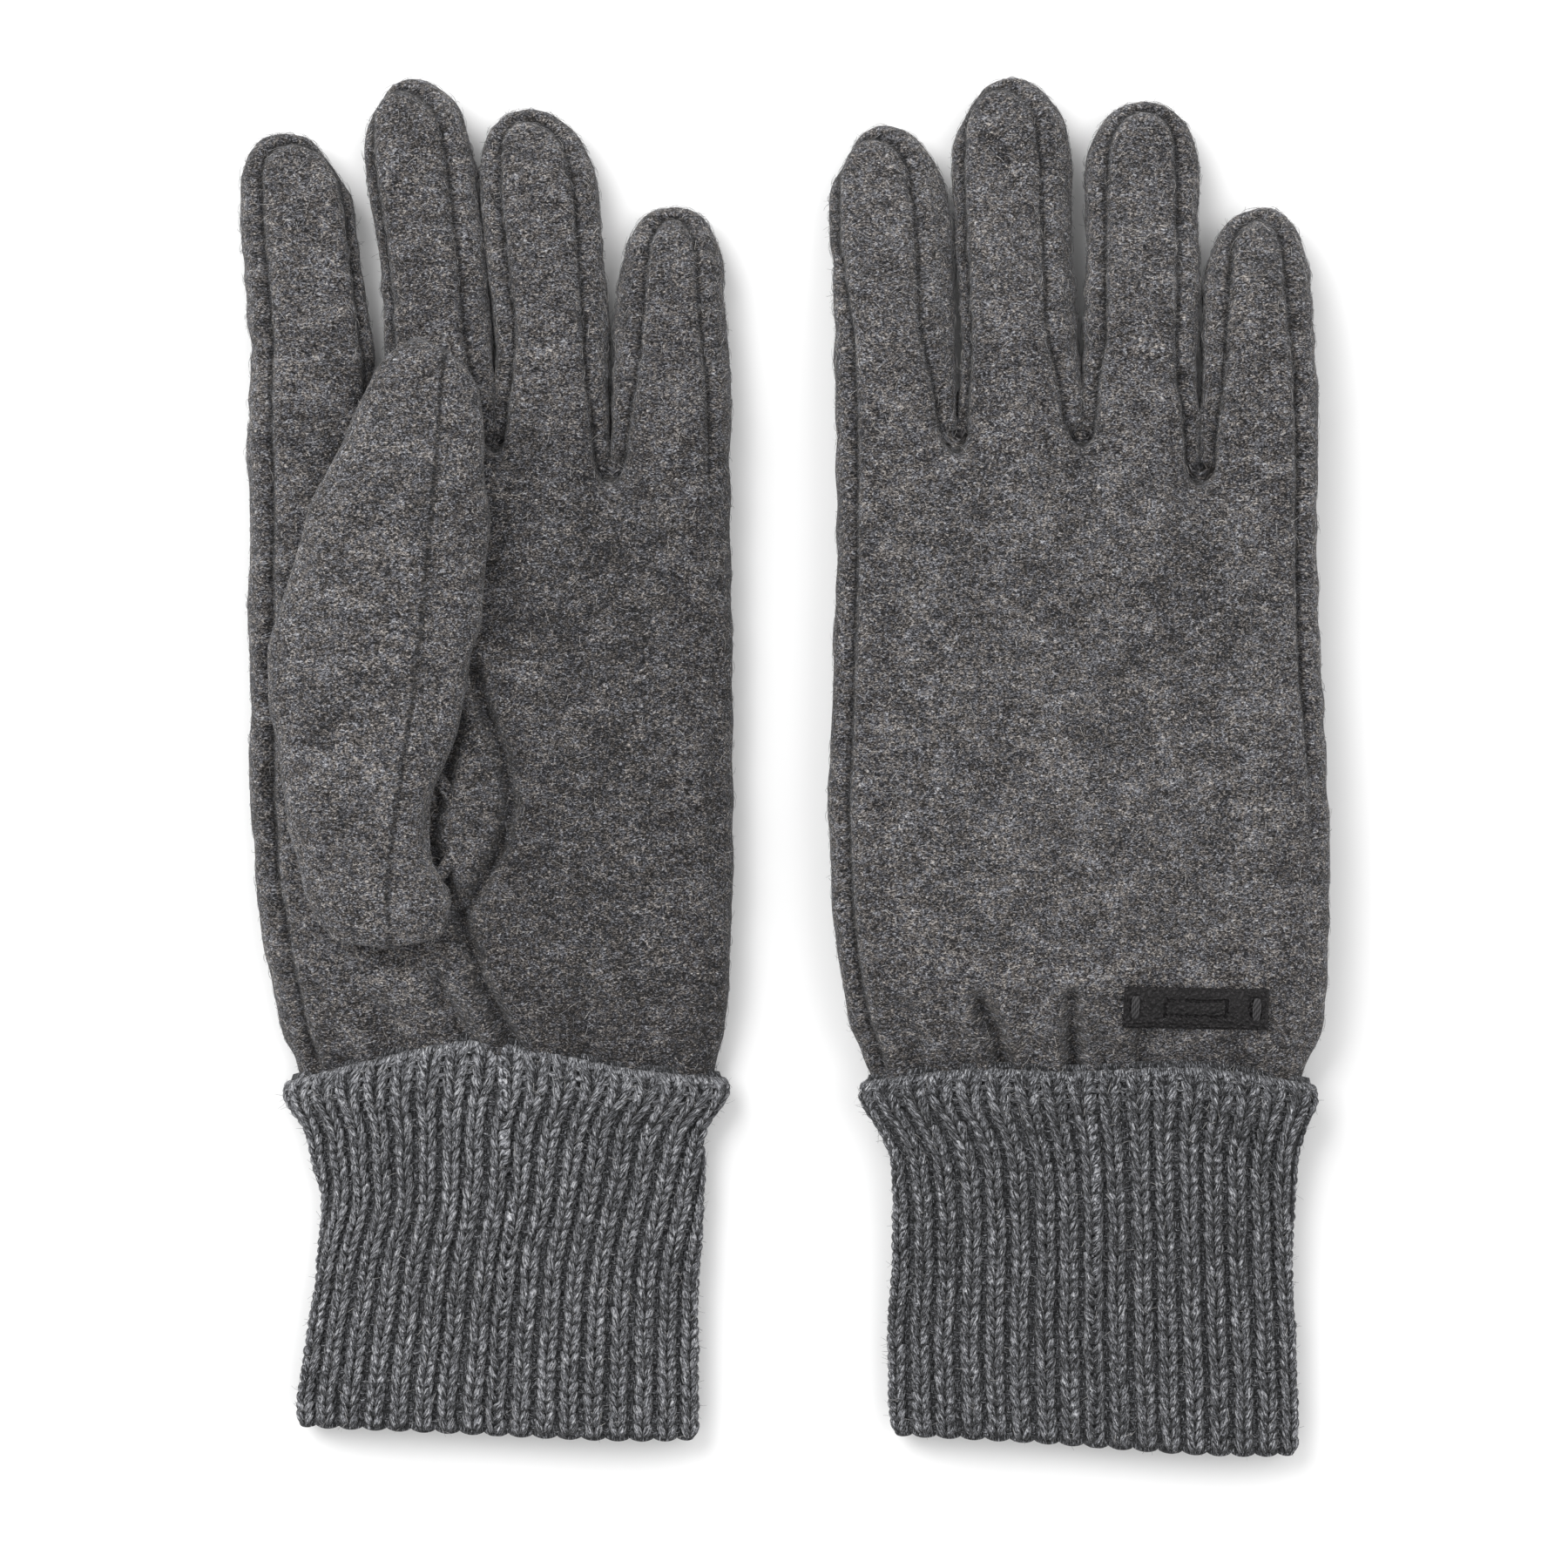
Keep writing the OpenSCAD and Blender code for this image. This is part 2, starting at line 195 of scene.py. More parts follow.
# The layout of each glove, u across from its own middle and y along. A finger is its middle at the
# knuckle and at the tip, its half width at the knuckle and at the tip, and its reach. An edge is
# places along y and its u there. seamIn says how far each finger's two seams lie in from its left
# and right sides, edgeSeam the same for the palm's edges, and veil where the seam shows again.
gloves = {
    "left": {
        "x": -62.97, "hingeZ": 0.015,
        "fingers": {
            "index": (-39.4, -44.0, 13.6, 12.9, 136.4), "middle": (-11.7, -17.3, 11.8, 12.0, 147.8),
            "ring": (13.0, 8.8, 12.0, 12.7, 141.6), "little": (39.2, 39.5, 12.6, 11.6, 120.3)},
        "webs": ((-24.6, 70.0), (0.7, 69.5), (25.7, 63.5)),
        "leftEdge": ((-75, -66, -61, -50, -27, -8, 30, 60, 95),
                     (-40.5, -43.6, -45.6, -47.6, -51.8, -53.1, -53.0, -53.0, -54.0)),
        "rightEdge": ((-75, -66, -61, -50, -27, -8, 30, 60, 95),
                      (46.0, 48.8, 50.4, 51.6, 52.6, 52.7, 52.4, 51.4, 51.4)),
        "seamIn": {"index": (5.0, 1.4), "middle": (1.6, 5.4), "ring": (3.9, 4.3), "little": (5.2, 5.6)},
        "edgeSeam": (5.2, 3.8), "veil": (45, 80), "seed": 3},
    "right": {
        "x": 64.5, "hingeZ": 0.0092,
        "fingers": {
            "index": (-39.6, -41.6, 12.6, 13.2, 137.2), "middle": (-13.2, -14.6, 12.8, 13.2, 148.2),
            "ring": (13.4, 14.6, 12.2, 12.4, 143.2), "little": (39.0, 39.5, 12.4, 11.6, 119.4)},
        "webs": ((-26.7, 69.5), (0.6, 70.5), (26.2, 62.5)),
        "leftEdge": ((-75, -66, -60, -50, -35, -12, 18, 45, 95),
                     (-43.0, -46.2, -48.6, -51.0, -53.0, -53.8, -52.6, -52.0, -52.2)),
        "rightEdge": ((-75, -66, -60, -50, -35, -12, 18, 45, 95),
                      (47.5, 50.4, 52.4, 53.6, 54.4, 54.4, 52.4, 51.3, 51.0)),
        "seamIn": {"index": (1.4, 7.4), "middle": (1.6, 6.8), "ring": (3.6, 4.4), "little": (4.2, 5.7)},
        "edgeSeam": (3.3, 4.0), "veil": (-25, 15), "seed": 8}}
fingerNames = ("index", "middle", "ring", "little")
knuckleY = {"index": 94.1, "middle": 94.1, "ring": 96.0, "little": 86.0}

# the shape of the hands: thickness of an empty glove, mesh size, where a finger starts to narrow
hand = {"thick": 14.0, "voxel": 0.76, "tipLength": 23.0, "floor": 0.1,
        "onTable": 0.2, "onThumb": 8.6, "fingerRelease": (88, 133), "cuffRelease": (-130, -46),
        "sideDrop": 0.42, "sideDropAcross": (2, 52)}


def fingerMiddle(side, name, y):
    # straight to the knuckle, then leaning a little more towards the tip
    root, tip, _, _, reach = gloves[side]["fingers"][name]
    t = np.clip((y - 88) / (reach - 96), 0, 1.3)
    return root + (tip - root) * t ** 1.25


def fingerHalf(side, name, y):
    # even width, then a rounded and slightly pointed tip: w (1 - t^2.4)^0.46
    _, _, rootHalf, tipHalf, reach = gloves[side]["fingers"][name]
    w = rootHalf + (tipHalf - rootHalf) * smooth(y, 80, reach - 16)
    t = np.clip((y - reach + hand["tipLength"]) / hand["tipLength"], 0, 1)
    return w * (1 - t ** 2.4) ** 0.46


def fingerSide(side, name, y, way):
    # the left (-1) or right (+1) side of a finger
    return fingerMiddle(side, name, y) + way * fingerHalf(side, name, y)


def nearestFinger(side, points):
    middles = np.stack([fingerMiddle(side, n, points[:, 1]) for n in fingerNames], -1)
    return np.abs(points[:, :1] - middles).argmin(1)


def edgeAt(side, which, y):
    return np.interp(y, *gloves[side][which])


def baseHeight(side, u, y):
    # the height of what a glove lies on: the table, or for the right glove its own thumb, from
    # which the fingertips, the cuff and the little-finger side sink back to the table
    if side == "left":
        return np.zeros_like(y)
    along = (1 - smooth(y, *hand["fingerRelease"])) * smooth(y, *hand["cuffRelease"])
    across = 1 - hand["sideDrop"] * smooth(u, *hand["sideDropAcross"])
    return hand["onTable"] + hand["onThumb"] * along * across


def pillowRings(middle, half, low, high, power, across=96):
    # a flat pillow's cross-section: |x/a|^p + |z/b|^2.3 = 1, one ring for each row
    angle = np.linspace(0, 2 * math.pi, across, endpoint=False)
    c, s = np.cos(angle), np.sin(angle)
    x = np.sign(c) * np.abs(c) ** (2 / power)
    z = np.sign(s) * np.abs(s) ** (2 / 2.3)
    mid, b = (low + high) / 2, (high - low) / 2
    return middle[:, None] + half[:, None] * x, mid[:, None] + b[:, None] * z


def palmBody(side):
    # rings along Y; the end at the webs is rounded off as a quarter of an ellipse, and the little
    # finger's side of it lies lower
    y = np.concatenate([np.linspace(-79, 58, 104), np.linspace(59, 70.4, 16)])
    left, right = edgeAt(side, "leftEdge", y), edgeAt(side, "rightEdge", y)
    fade = np.sqrt(np.clip(1 - ((y - 57.5) / 13.2).clip(0, 1) ** 2, 0.02, 1))
    thick = hand["thick"] * (0.64 + 0.36 * smooth(y, -73, -45))
    high = hand["floor"] + thick * (0.5 + 0.5 * fade)
    low = hand["floor"] + thick * (0.5 - 0.5 * fade) * 0.8
    x, z = pillowRings((left + right) / 2, (right - left) / 2, low, high, 7.0)
    sink = 8 * smooth(x, 14, 27) * smooth(y, 25, 68)[:, None]
    return np.stack([x, y[:, None] - sink, z], -1)


def clearance(side, name, y, way):
    # how far a finger's side is drawn in so that it stays apart from its neighbour
    i = fingerNames.index(name) + way
    if i < 0 or i > 3:
        return 0 * y
    space = way * (fingerSide(side, fingerNames[i], y, -way) - fingerSide(side, name, y, way))
    return np.clip((2.3 - space) / 2, 0, 1.6) * (1 - smooth(y, 118, 130))


def fingerBody(side, name):
    # rings from inside the palm to the tip, closer and closer; thickness t (1 - s^2.6)^0.42
    reach = gloves[side]["fingers"][name][4]
    y = np.concatenate([np.linspace(40, reach - 24, 60),
                        reach - 24 * np.cos(np.linspace(0, math.pi / 2, 46))[1:]])
    y[-1] = reach - 0.02
    half = fingerHalf(side, name, y)
    fromLeft, fromRight = clearance(side, name, y, -1), clearance(side, name, y, 1)
    t = np.clip((y - reach + 20) / 20, 0, 1)
    thick = hand["thick"] * (0.985 - 0.05 * smooth(y, 70, reach - 20)) * (1 - t ** 2.6) ** 0.42
    mid = hand["floor"] + hand["thick"] * 0.5 * (0.985 - 0.10 * smooth(y, 70, reach))
    middle = fingerMiddle(side, name, y) + (fromLeft - fromRight) / 2
    x, z = pillowRings(middle, half - (fromLeft + fromRight) / 2, mid - thick / 2, mid + thick / 2, 2.7, 64)
    return np.stack([x, np.broadcast_to(y[:, None], x.shape), z], -1)


def voxelSkin(bodies):
    # one closed skin round overlapping closed lofts
    points, quads, tris, start = [], [], [], 0
    for rings in bodies:
        p, q, c = closedLoft(rings, start)
        points.append(p)
        quads.append(q)
        tris.append(c)
        start += len(p)
    mesh = makeMesh("skinSource", np.concatenate(points), [np.concatenate(quads), np.concatenate(tris)])
    source = bpy.data.objects.new("skinSource", mesh)
    bpy.context.scene.collection.objects.link(source)
    remesh = source.modifiers.new("voxels", "REMESH")
    remesh.mode, remesh.voxel_size = "VOXEL", hand["voxel"] * mm
    done = bpy.data.meshes.new_from_object(source.evaluated_get(bpy.context.evaluated_depsgraph_get()))
    co = np.zeros(len(done.vertices) * 3, np.float32)
    done.vertices.foreach_get("co", co)
    loops = np.zeros(len(done.loops), np.int32)
    done.loops.foreach_get("vertex_index", loops)
    bpy.data.objects.remove(source)
    bpy.data.meshes.remove(done)
    return co.reshape(-1, 3).astype(float) / mm, loops.reshape(-1, 4)


def relax(points, quads, times, weight=1.0):
    # each point moves half way to the mean of its neighbours along the quads' sides
    a = quads.ravel()
    b = np.roll(quads, -1, axis=1).ravel()
    count = np.bincount(np.concatenate([a, b]), minlength=len(points))[:, None]
    weight = 0.5 * np.broadcast_to(weight, len(points))[:, None]
    for _ in range(times):
        total = np.stack([np.bincount(a, points[b, k], len(points))
                          + np.bincount(b, points[a, k], len(points)) for k in range(3)], -1)
        points = points + (total / count - points) * weight
    return points


def normalsOf(points, quads):
    # area-weighted mean of the normals of the faces round each point
    n = np.cross(points[quads[:, 2]] - points[quads[:, 0]], points[quads[:, 3]] - points[quads[:, 1]])
    total = np.stack([np.bincount(quads.ravel(), np.repeat(n[:, k], 4), len(points)) for k in range(3)], -1)
    return total / np.maximum(np.linalg.norm(total, axis=1, keepdims=True), 1e-9)


def nearestOnLines(points, lines):
    # distance in plan from each point to the nearest of some lines, and the place along that line;
    # only points within 9 mm of a line's box are measured, the others keep 99
    best, run = np.full(len(points), 99.0), np.zeros(len(points))
    for line in lines:
        line = np.asarray(line, float)
        inBox = (points[:, :2] > line.min(0) - 9) & (points[:, :2] < line.max(0) + 9)
        near = np.flatnonzero(inBox.all(1))
        a, d = line[:-1], np.diff(line, axis=0)
        length = np.linalg.norm(d, axis=1)
        before = np.concatenate([[0], np.cumsum(length)[:-1]])
        for part in np.array_split(near, max(1, len(near) // 20000)):
            p = points[part, None, :2]
            t = np.clip(((p - a) * d).sum(2) / (length ** 2), 0, 1)
            gap = np.linalg.norm(a + t[:, :, None] * d - p, axis=2)
            k = gap.argmin(1)
            rows = np.arange(len(part))
            closer = gap[rows, k] < best[part]
            best[part] = np.where(closer, gap[rows, k], best[part])
            run[part] = np.where(closer, before[k] + t[rows, k] * length[k], run[part])
    return best, run


def groove(gap, deep, wide, rise, away, spread):
    # a narrow valley between two low swellings, by the distance from its line
    return -deep * bell(gap, wide) + rise * bell(gap - away, spread)


def creases(points, folds, rise, away):
    # valleys with swollen banks, each fold being its line, half width and depth
    move = np.zeros(len(points))
    for line, wide, deep in folds:
        gap = nearestOnLines(points, [line])[0]
        move += groove(gap, deep, wide, rise * deep, away * wide, wide)
    return move


# the sewn lines: groove, where an outer seam turns from the palm's edge and has reached the
# finger's, how they close in on a web and over what length, and the arch over the tip
seam = {"groove": (1.45, 1.0, 0.45, 3.1, 1.7), "turn": 74, "eased": {-1: 112, 1: 104},
        "closeIn": 0.42, "closeOver": 24, "archBack": 15, "archHigh": 13}


def seamLines(side):
    # every finger has a seam up each side that joins in an arch over its tip; both run down to
    # the webs, closing in on them, and the outermost ones run on down the edge to the wrist
    lines, glove, webs = [], gloves[side], gloves[side]["webs"]
    for i, name in enumerate(fingerNames):
        reach = glove["fingers"][name][4]
        top, sides = reach - seam["archBack"], []
        for way, edge, outer, web in ((-1, "leftEdge", i == 0, webs[max(i - 1, 0)]),
                                      (1, "rightEdge", i == 3, webs[min(i, 2)])):
            inward, edgeIn = [-way * pair[way > 0] for pair in (glove["seamIn"][name], glove["edgeSeam"])]
            bottom = seam["turn"] if outer else web[1] + 1.5
            y = np.linspace(bottom, top, 40)
            opened = smooth(y, bottom, bottom + seam["closeOver"])
            near = 1 if outer else seam["closeIn"] + (1 - seam["closeIn"]) * opened
            u = fingerSide(side, name, y, way) + inward * near
            tail = np.array([(web[0] - way * 0.4, web[1] - 2.6)])
            if outer:
                down = np.linspace(-67, 72, 50)
                ease = 1 - smooth(y, seam["turn"], seam["eased"][way])
                u += (edgeAt(side, edge, seam["turn"]) + edgeIn - u[0]) * ease
                tail = np.stack([edgeAt(side, edge, down) + edgeIn, down], -1)
            sides.append(np.concatenate([tail, np.stack([u, y], -1)]))
        left, right = sides
        turn = np.linspace(math.pi, 0, 24)[1:-1]
        mid, radius = (left[-1, 0] + right[-1, 0]) / 2, (right[-1, 0] - left[-1, 0]) / 2
        lean = fingerMiddle(side, name, reach) - fingerMiddle(side, name, top)
        arch = np.stack([mid + radius * np.cos(turn) + lean * np.sin(turn),
                         top + seam["archHigh"] * np.sin(turn) ** 0.8], -1)
        lines.append(np.concatenate([left, arch, right[::-1]]))
    return lines


# soft folds in the cloth: points along each valley, half width, depth
folds = {
    "left": [([(-4, 19), (-1, 10), (2.6, 0), (4.5, -10), (2.2, -20), (-2.2, -28), (-5.6, -34)], 1.5, 2.6),
             ([(-8, 8), (-9, 0), (-11, -9), (-13.6, -18), (-10.6, -25), (-6.5, -35), (-2.3, -48), (1, -55),
               (6, -65)], 1.6, 2.9),
             ([(-12, -49), (-9, -55), (-4, -65)], 1.9, 2.3),
             ([(-30, -49), (-24, -55), (-20, -66)], 2.6, 1.3), ([(20, -50), (22, -66)], 2.8, 1.1),
             ([(6, 62), (3, 44), (4, 25)], 4.5, 0.8), ([(26, 58), (22, 40), (23, 22)], 6.0, 0.7),
             ([(-42, -36), (-20, -44), (-2, -42)], 4.0, 0.9)],
    "right": [([(-22, -53), (-18, -60), (-16.5, -69)], 1.8, 3.2), ([(-2, -52), (-1.0, -69)], 1.8, 3.0),
              ([(-38, -55), (-35, -69)], 2.4, 1.5), ([(13, -58), (14, -69)], 2.2, 1.9),
              ([(33, -62), (35, -70)], 2.6, 0.8), ([(-26, 64), (-22, 50), (-23, 34)], 5.0, 0.7),
              ([(1, 64), (-1, 48)], 4.5, 0.6), ([(26, 57), (24, 40), (26, 25)], 5.5, 0.7)]}

# relief of the hands: swelling finger sides, tucks at the webs, the bulge beside the thumb as
# place, spread and height, puckers under the cuff, lumps as height, wavelength and seed step
relief = {"sideGap": 0.12, "webSwell": 0.8, "webTuck": (1.5, 2.4), "webRound": (3, 9),
          "bulge": ((-3, -10), (5, 15), 1.3), "pucker": (0.6, 9, 0.62, 1.3, 0.23),
          "lumps": ((0.42, 34, 0), (0.22, 14, 1), (0.10, 6, 2)), "wrinkle": (0.20, 0.75, 2.4, 30)}


def gloveSkin(side):
    # the palm and four fingers as one skin, swollen back between the fingers, then drawn in along
    # the seams and folds; also its shape before the seams, the seam distances and its normals
    bodies = [palmBody(side)] + [fingerBody(side, n) for n in fingerNames]
    points, quads = voxelSkin(bodies)
    points = relax(points, quads, 3)
    webs = gloves[side]["webs"]
    nearWeb = np.min([np.hypot(points[:, 0] - w[0], points[:, 1] - w[1]) for w in webs], axis=0)
    points = relax(points, quads, 8, 1 - smooth(nearWeb, *relief["webRound"]))
    normals = normalsOf(points, quads)
    nearest = nearestFinger(side, points)
    for i, name in enumerate(fingerNames):
        for way in (-1, 1):
            web = webs[np.clip(i if way > 0 else i - 1, 0, 2)][1]
            swell = np.clip(clearance(side, name, points[:, 1], way) - relief["sideGap"], 0, None)
            swell += relief["webSwell"] * (swell > 0) * (1 - smooth(points[:, 1], web + 5, web + 19))
            facing = smooth(way * normals[:, 0], 0.15, 0.85) * smooth(points[:, 1], web - 3, web + 1)
            points[:, 0] += np.where(nearest == i, way * swell * facing, 0)
    rest = points.copy()
    normals = normalsOf(points, quads)
    gap, run = nearestOnLines(points, seamLines(side))
    # on the lower part of the little side the seam lies slack and shows less
    slack = smooth(points[:, 0], 28, 42) * (1 - smooth(points[:, 1], *gloves[side]["veil"]))
    move = groove(gap, *seam["groove"]) * (1 - 0.7 * slack)
    gap = gap + 0.6 * slack
    upper = smooth(normals[:, 2], -0.2, 0.3)
    move += upper * creases(points, folds[side], 0.45, 2.1)
    deep, wide = relief["webTuck"]
    move -= deep * smooth(np.abs(normals[:, 2]), 0.25, 0.75) * bell(nearWeb, wide)
    if side == "left":
        place, spread, high = relief["bulge"]
        move += (upper * high * bell(points[:, 0] - place[0], spread[0])
                 * bell(points[:, 1] - place[1], spread[1]))
    high, fade, rate, shift, shiftRate = relief["pucker"]
    wrist = np.exp(-np.clip(points[:, 1] + 70, 0, 99) / fade)
    move += high * wrist * np.sin(points[:, 0] * rate + shift * np.sin(points[:, 0] * shiftRate))
    seed = gloves[side]["seed"]
    for high, wavelength, step in relief["lumps"]:
        move += high * softWaves(points, wavelength, seed + step)
    # small crosswise wrinkles on the fingers, where they bend
    high, rate, shift, wavelength = relief["wrinkle"]
    bend = smooth(points[:, 1], 62, 74) * (1 - smooth(points[:, 1], 108, 128))
    wave = np.sin(points[:, 1] * rate + shift * softWaves(points, wavelength, seed + 3))
    move += high * bend * upper * wave
    points = points + normals * move[:, None]
    points[:, 2] = np.maximum(points[:, 2], 0.05) + baseHeight(side, points[:, 0], points[:, 1])
    return points, quads, rest, gap, run, normalsOf(points, quads)


def pieceOfSkin(name, skin, faceMask, x, material):
    # cuts some faces out of a skin and keeps the whole skin's shading, so the cut can't be seen
    points, quads, rest, gap, run, normals = skin
    used, back = np.unique(quads[faceMask], return_inverse=True)
    piece = makePiece(name, points[used] + (x, 0, 0), [back.reshape(-1, 4)], material)
    markCloth(piece, rest[used] + (x, 0, 0), gap[used], run[used])
    piece.data.normals_split_custom_set_from_vertices(normals[used])
    return piece


# The thumb seen from above: places along y and the u of each side there, the line of its seam, its
# heel-to-tip middle and half length, and for each glove its lowest point and height.
thumb = {
    "leftSide": ((-41.4, -40.4, -37.5, -32.5, -23, -12, 0, 13, 24, 34, 43, 52, 60, 68, 74, 80, 84, 88, 90),
                 (-22, -30, -34.8, -38.3, -41.2, -43.6, -46, -47.4, -47, -44.9, -42, -38.6, -35.2, -31.4,
                  -28.6, -26, -24, -19.6, -15.0)),
    "rightSide": ((-41.4, -39.6, -37, -33, -26, -18, -10, -3, 4, 11, 18, 28, 44, 60, 72, 79, 84, 88, 90),
                  (-22, -12, -9.2, -8.6, -10.8, -13.6, -12.6, -10, -7.8, -5.7, -4.1, -2.4, -0.5, -0.4,
                   -1.2, -3.0, -5.6, -10.2, -15.0)),
    "seam": ((-9.4, 88), (-10.2, 76), (-11.1, 62), (-12.5, 47), (-14, 28), (-15.8, 14), (-17.5, 2),
             (-19.3, -10), (-21.6, -27), (-21.4, -42)),
    "groove": (1.3, 1.2, 0.45, 3, 1.7),
    "folds": (([(-2, 52), (-7, 40), (-13, 33)], 2.2, 0.7), ([(-1, 30), (-8, 23)], 2.0, 0.6),
              ([(-6, -2), (-13, -12), (-15, -24)], 1.8, 1.5), ([(-12, -14), (-9, -24), (-10, -34)], 1.6, 0.9),
              ([(-40, 32), (-33, 26)], 2.6, 0.5), ([(-14, -26), (-19, -34)], 1.6, 0.8)),
    "lumps": ((0.45, 26, 21), (0.25, 11, 22)), "middle": 24.3, "halfLength": 65.6, "around": 128,
    "left": (13.9, 11.6), "right": (0.1, 7.5)}


def thumbSkin(side):
    # a flattened tube from the heel to the tip, its two sides given by smooth curves
    turn = np.linspace(0, math.pi, 190)
    y = thumb["middle"] - thumb["halfLength"] * np.cos(turn)
    left = curveThrough(y, *thumb["leftSide"])
    right = curveThrough(y, *thumb["rightSide"])
    half = np.maximum((right - left) / 2, 0.05)
    low, height = thumb[side]
    s = np.clip(np.abs(y - thumb["middle"]) / (thumb["halfLength"] + 0.05), 0, 1)
    thick = height * (1 - smooth(s, 0.55, 1) * 0.15) * (1 - s ** 9) ** 0.5
    thick = np.maximum(thick * (1 - 0.12 * smooth(-y, 2, 40)), 0.06)
    mid = low + height * 0.5 - 0.3 * s
    around = thumb["around"]
    x, z = pillowRings((left + right) / 2, half, mid - thick / 2, mid + thick / 2, 2.5, around)
    points, quads, caps = closedLoft(np.stack([x, np.broadcast_to(y[:, None], x.shape), z], -1))
    rest = points.copy()
    gap, run = nearestOnLines(points, [thumb["seam"]])
    normals = normalsOf(points, quads)
    upper = smooth(normals[:, 2], -0.1, 0.4)
    move = upper * (groove(gap, *thumb["groove"]) + creases(points, thumb["folds"], 0.4, 2))
    for high, wavelength, seed in thumb["lumps"]:
        move += high * softWaves(points, wavelength, seed)
    move *= np.concatenate([np.repeat(1 - s ** 12, around), [0, 0]])
    points = points + normals * move[:, None]
    points[:, 2] = np.maximum(points[:, 2], low)
    return points, quads, caps, rest, gap, run


# The rib cuff: ribs round it, rows of stitches, millimetres between rows, half width and half
# thickness of the yarn, rows that belong to the band, wall, exponents of its cross-section, half
# height and what the roll adds. For each glove the u of its sides at places along y, the band's
# top edge, the y of the mouth at both sides, and how far the ribs lean round it.
cuff = {
    "ribs": 34, "rows": 37, "rowPitch": 2.28, "yarn": (0.86, 0.66), "bandRows": 4, "wall": 1.6,
    "power": (4.0, 2.2), "halfHigh": 4.4, "rollHigh": 2.0, "scallop": 0.34,
    "left": {"y": (-62, -68, -73, -76.5, -80, -88, -95, -110, -125, -141, -152),
             "leftSide": (-44.8, -45.8, -45.9, -44.6, -42.3, -39.6, -37.5, -38.5, -40.7, -43.0, -43.2),
             "rightSide": (50.4, 51.6, 51.7, 49.8, 47.3, 46.2, 45.9, 45.3, 44.9, 45.0, 45.0),
             "top": ((-46, -22, -5, 9, 26, 51), (-72.6, -66.0, -62.6, -64.4, -68.2, -71.2)),
             "end": (-145.0, -147.9), "twist": 7.0, "seed": 40, "rollTone": 0.0},
    "right": {"y": (-62, -68, -73, -76.5, -80, -88, -95, -110, -125, -141, -152),
              "leftSide": (-46.8, -47.6, -47.6, -46.4, -43.9, -40.4, -40.0, -40.3, -41.3, -41.0, -40.4),
              "rightSide": (52.2, 52.6, 52.4, 51.6, 50.0, 47.9, 47.5, 47.3, 48.0, 48.6, 48.6),
              "top": ((-48, -33, -20, -5, 27, 39, 52), (-72.2, -69.6, -68.2, -68.8, -68.4, -70.2, -73.0)),
              "end": (-146.9, -151.2), "twist": -2.0, "seed": 60, "rollTone": -0.05}}


def ovalAt(angle):
    # a point of |x|^4 + |z|^2.2 = 1
    c, s = np.cos(angle), np.sin(angle)
    across, upward = cuff["power"]
    return np.sign(c) * np.abs(c) ** (2 / across), np.sign(s) * np.abs(s) ** (2 / upward)


# the angle at each share of the way round a cuff of middling size
turns = np.linspace(0, 2 * math.pi, 4001)
ovalX, ovalZ = ovalAt(turns)
wayRound = np.concatenate([[0], np.cumsum(np.hypot(np.diff(44.5 * ovalX), np.diff(5.4 * ovalZ)))])
perimeter = wayRound[-1]


def cuffPlace(side, share, row, height):
    # a point of the cuff: share 0 to 1 round it, row from its top edge (0) to its mouth, and
    # its height above the middle of the cloth; the cross-section is |x/A|^4 + |z/B|^2.2 = 1
    c = cuff[side]
    lean = c["twist"] * (1 - smooth(row / cuff["rows"], 0.0, 0.6)) / 190
    xs, zs = ovalAt(np.interp((share - lean) % 1.0, wayRound / perimeter, turns))
    top = curveThrough(np.clip(3 + 45 * xs, c["top"][0][0], c["top"][0][-1]), *c["top"])
    end = c["end"][0] + (c["end"][1] - c["end"][0]) * smooth(xs, -1, 1)
    y = top + (end - top) * row / cuff["rows"]
    left, right = curveThrough(y, c["y"], c["leftSide"]), curveThrough(y, c["y"], c["rightSide"])
    roll = bell(row - 2.2, 2.6)
    tuck = 1 - smooth(row, -1.2, 1.4)
    a = (right - left) / 2 - 0.6 - 1.6 * tuck
    b = cuff["halfHigh"] + cuff["rollHigh"] * roll + 0.4 * smooth(row, 20, 37) - 1.2 * tuck
    # the normal of the cross-section is the slope of its formula
    across, upward = cuff["power"]
    nx = across / a * np.abs(xs) ** (across - 1) * np.sign(xs)
    nz = upward / b * np.abs(zs) ** (upward - 1) * np.sign(zs)
    size = np.hypot(nx, nz) + 1e-9
    x = (left + right) / 2 + a * xs + nx / size * height
    z = 6.0 + 0.6 * roll + b * zs + nz / size * height + baseHeight(side, x, y)
    sag = 0.35 * np.sin(x * 0.11 + y * 0.05) * smooth(row, 3, 12)
    return np.stack([x, y + 0 * x, np.maximum(z + sag * (zs > 0), 0.06)], -1)


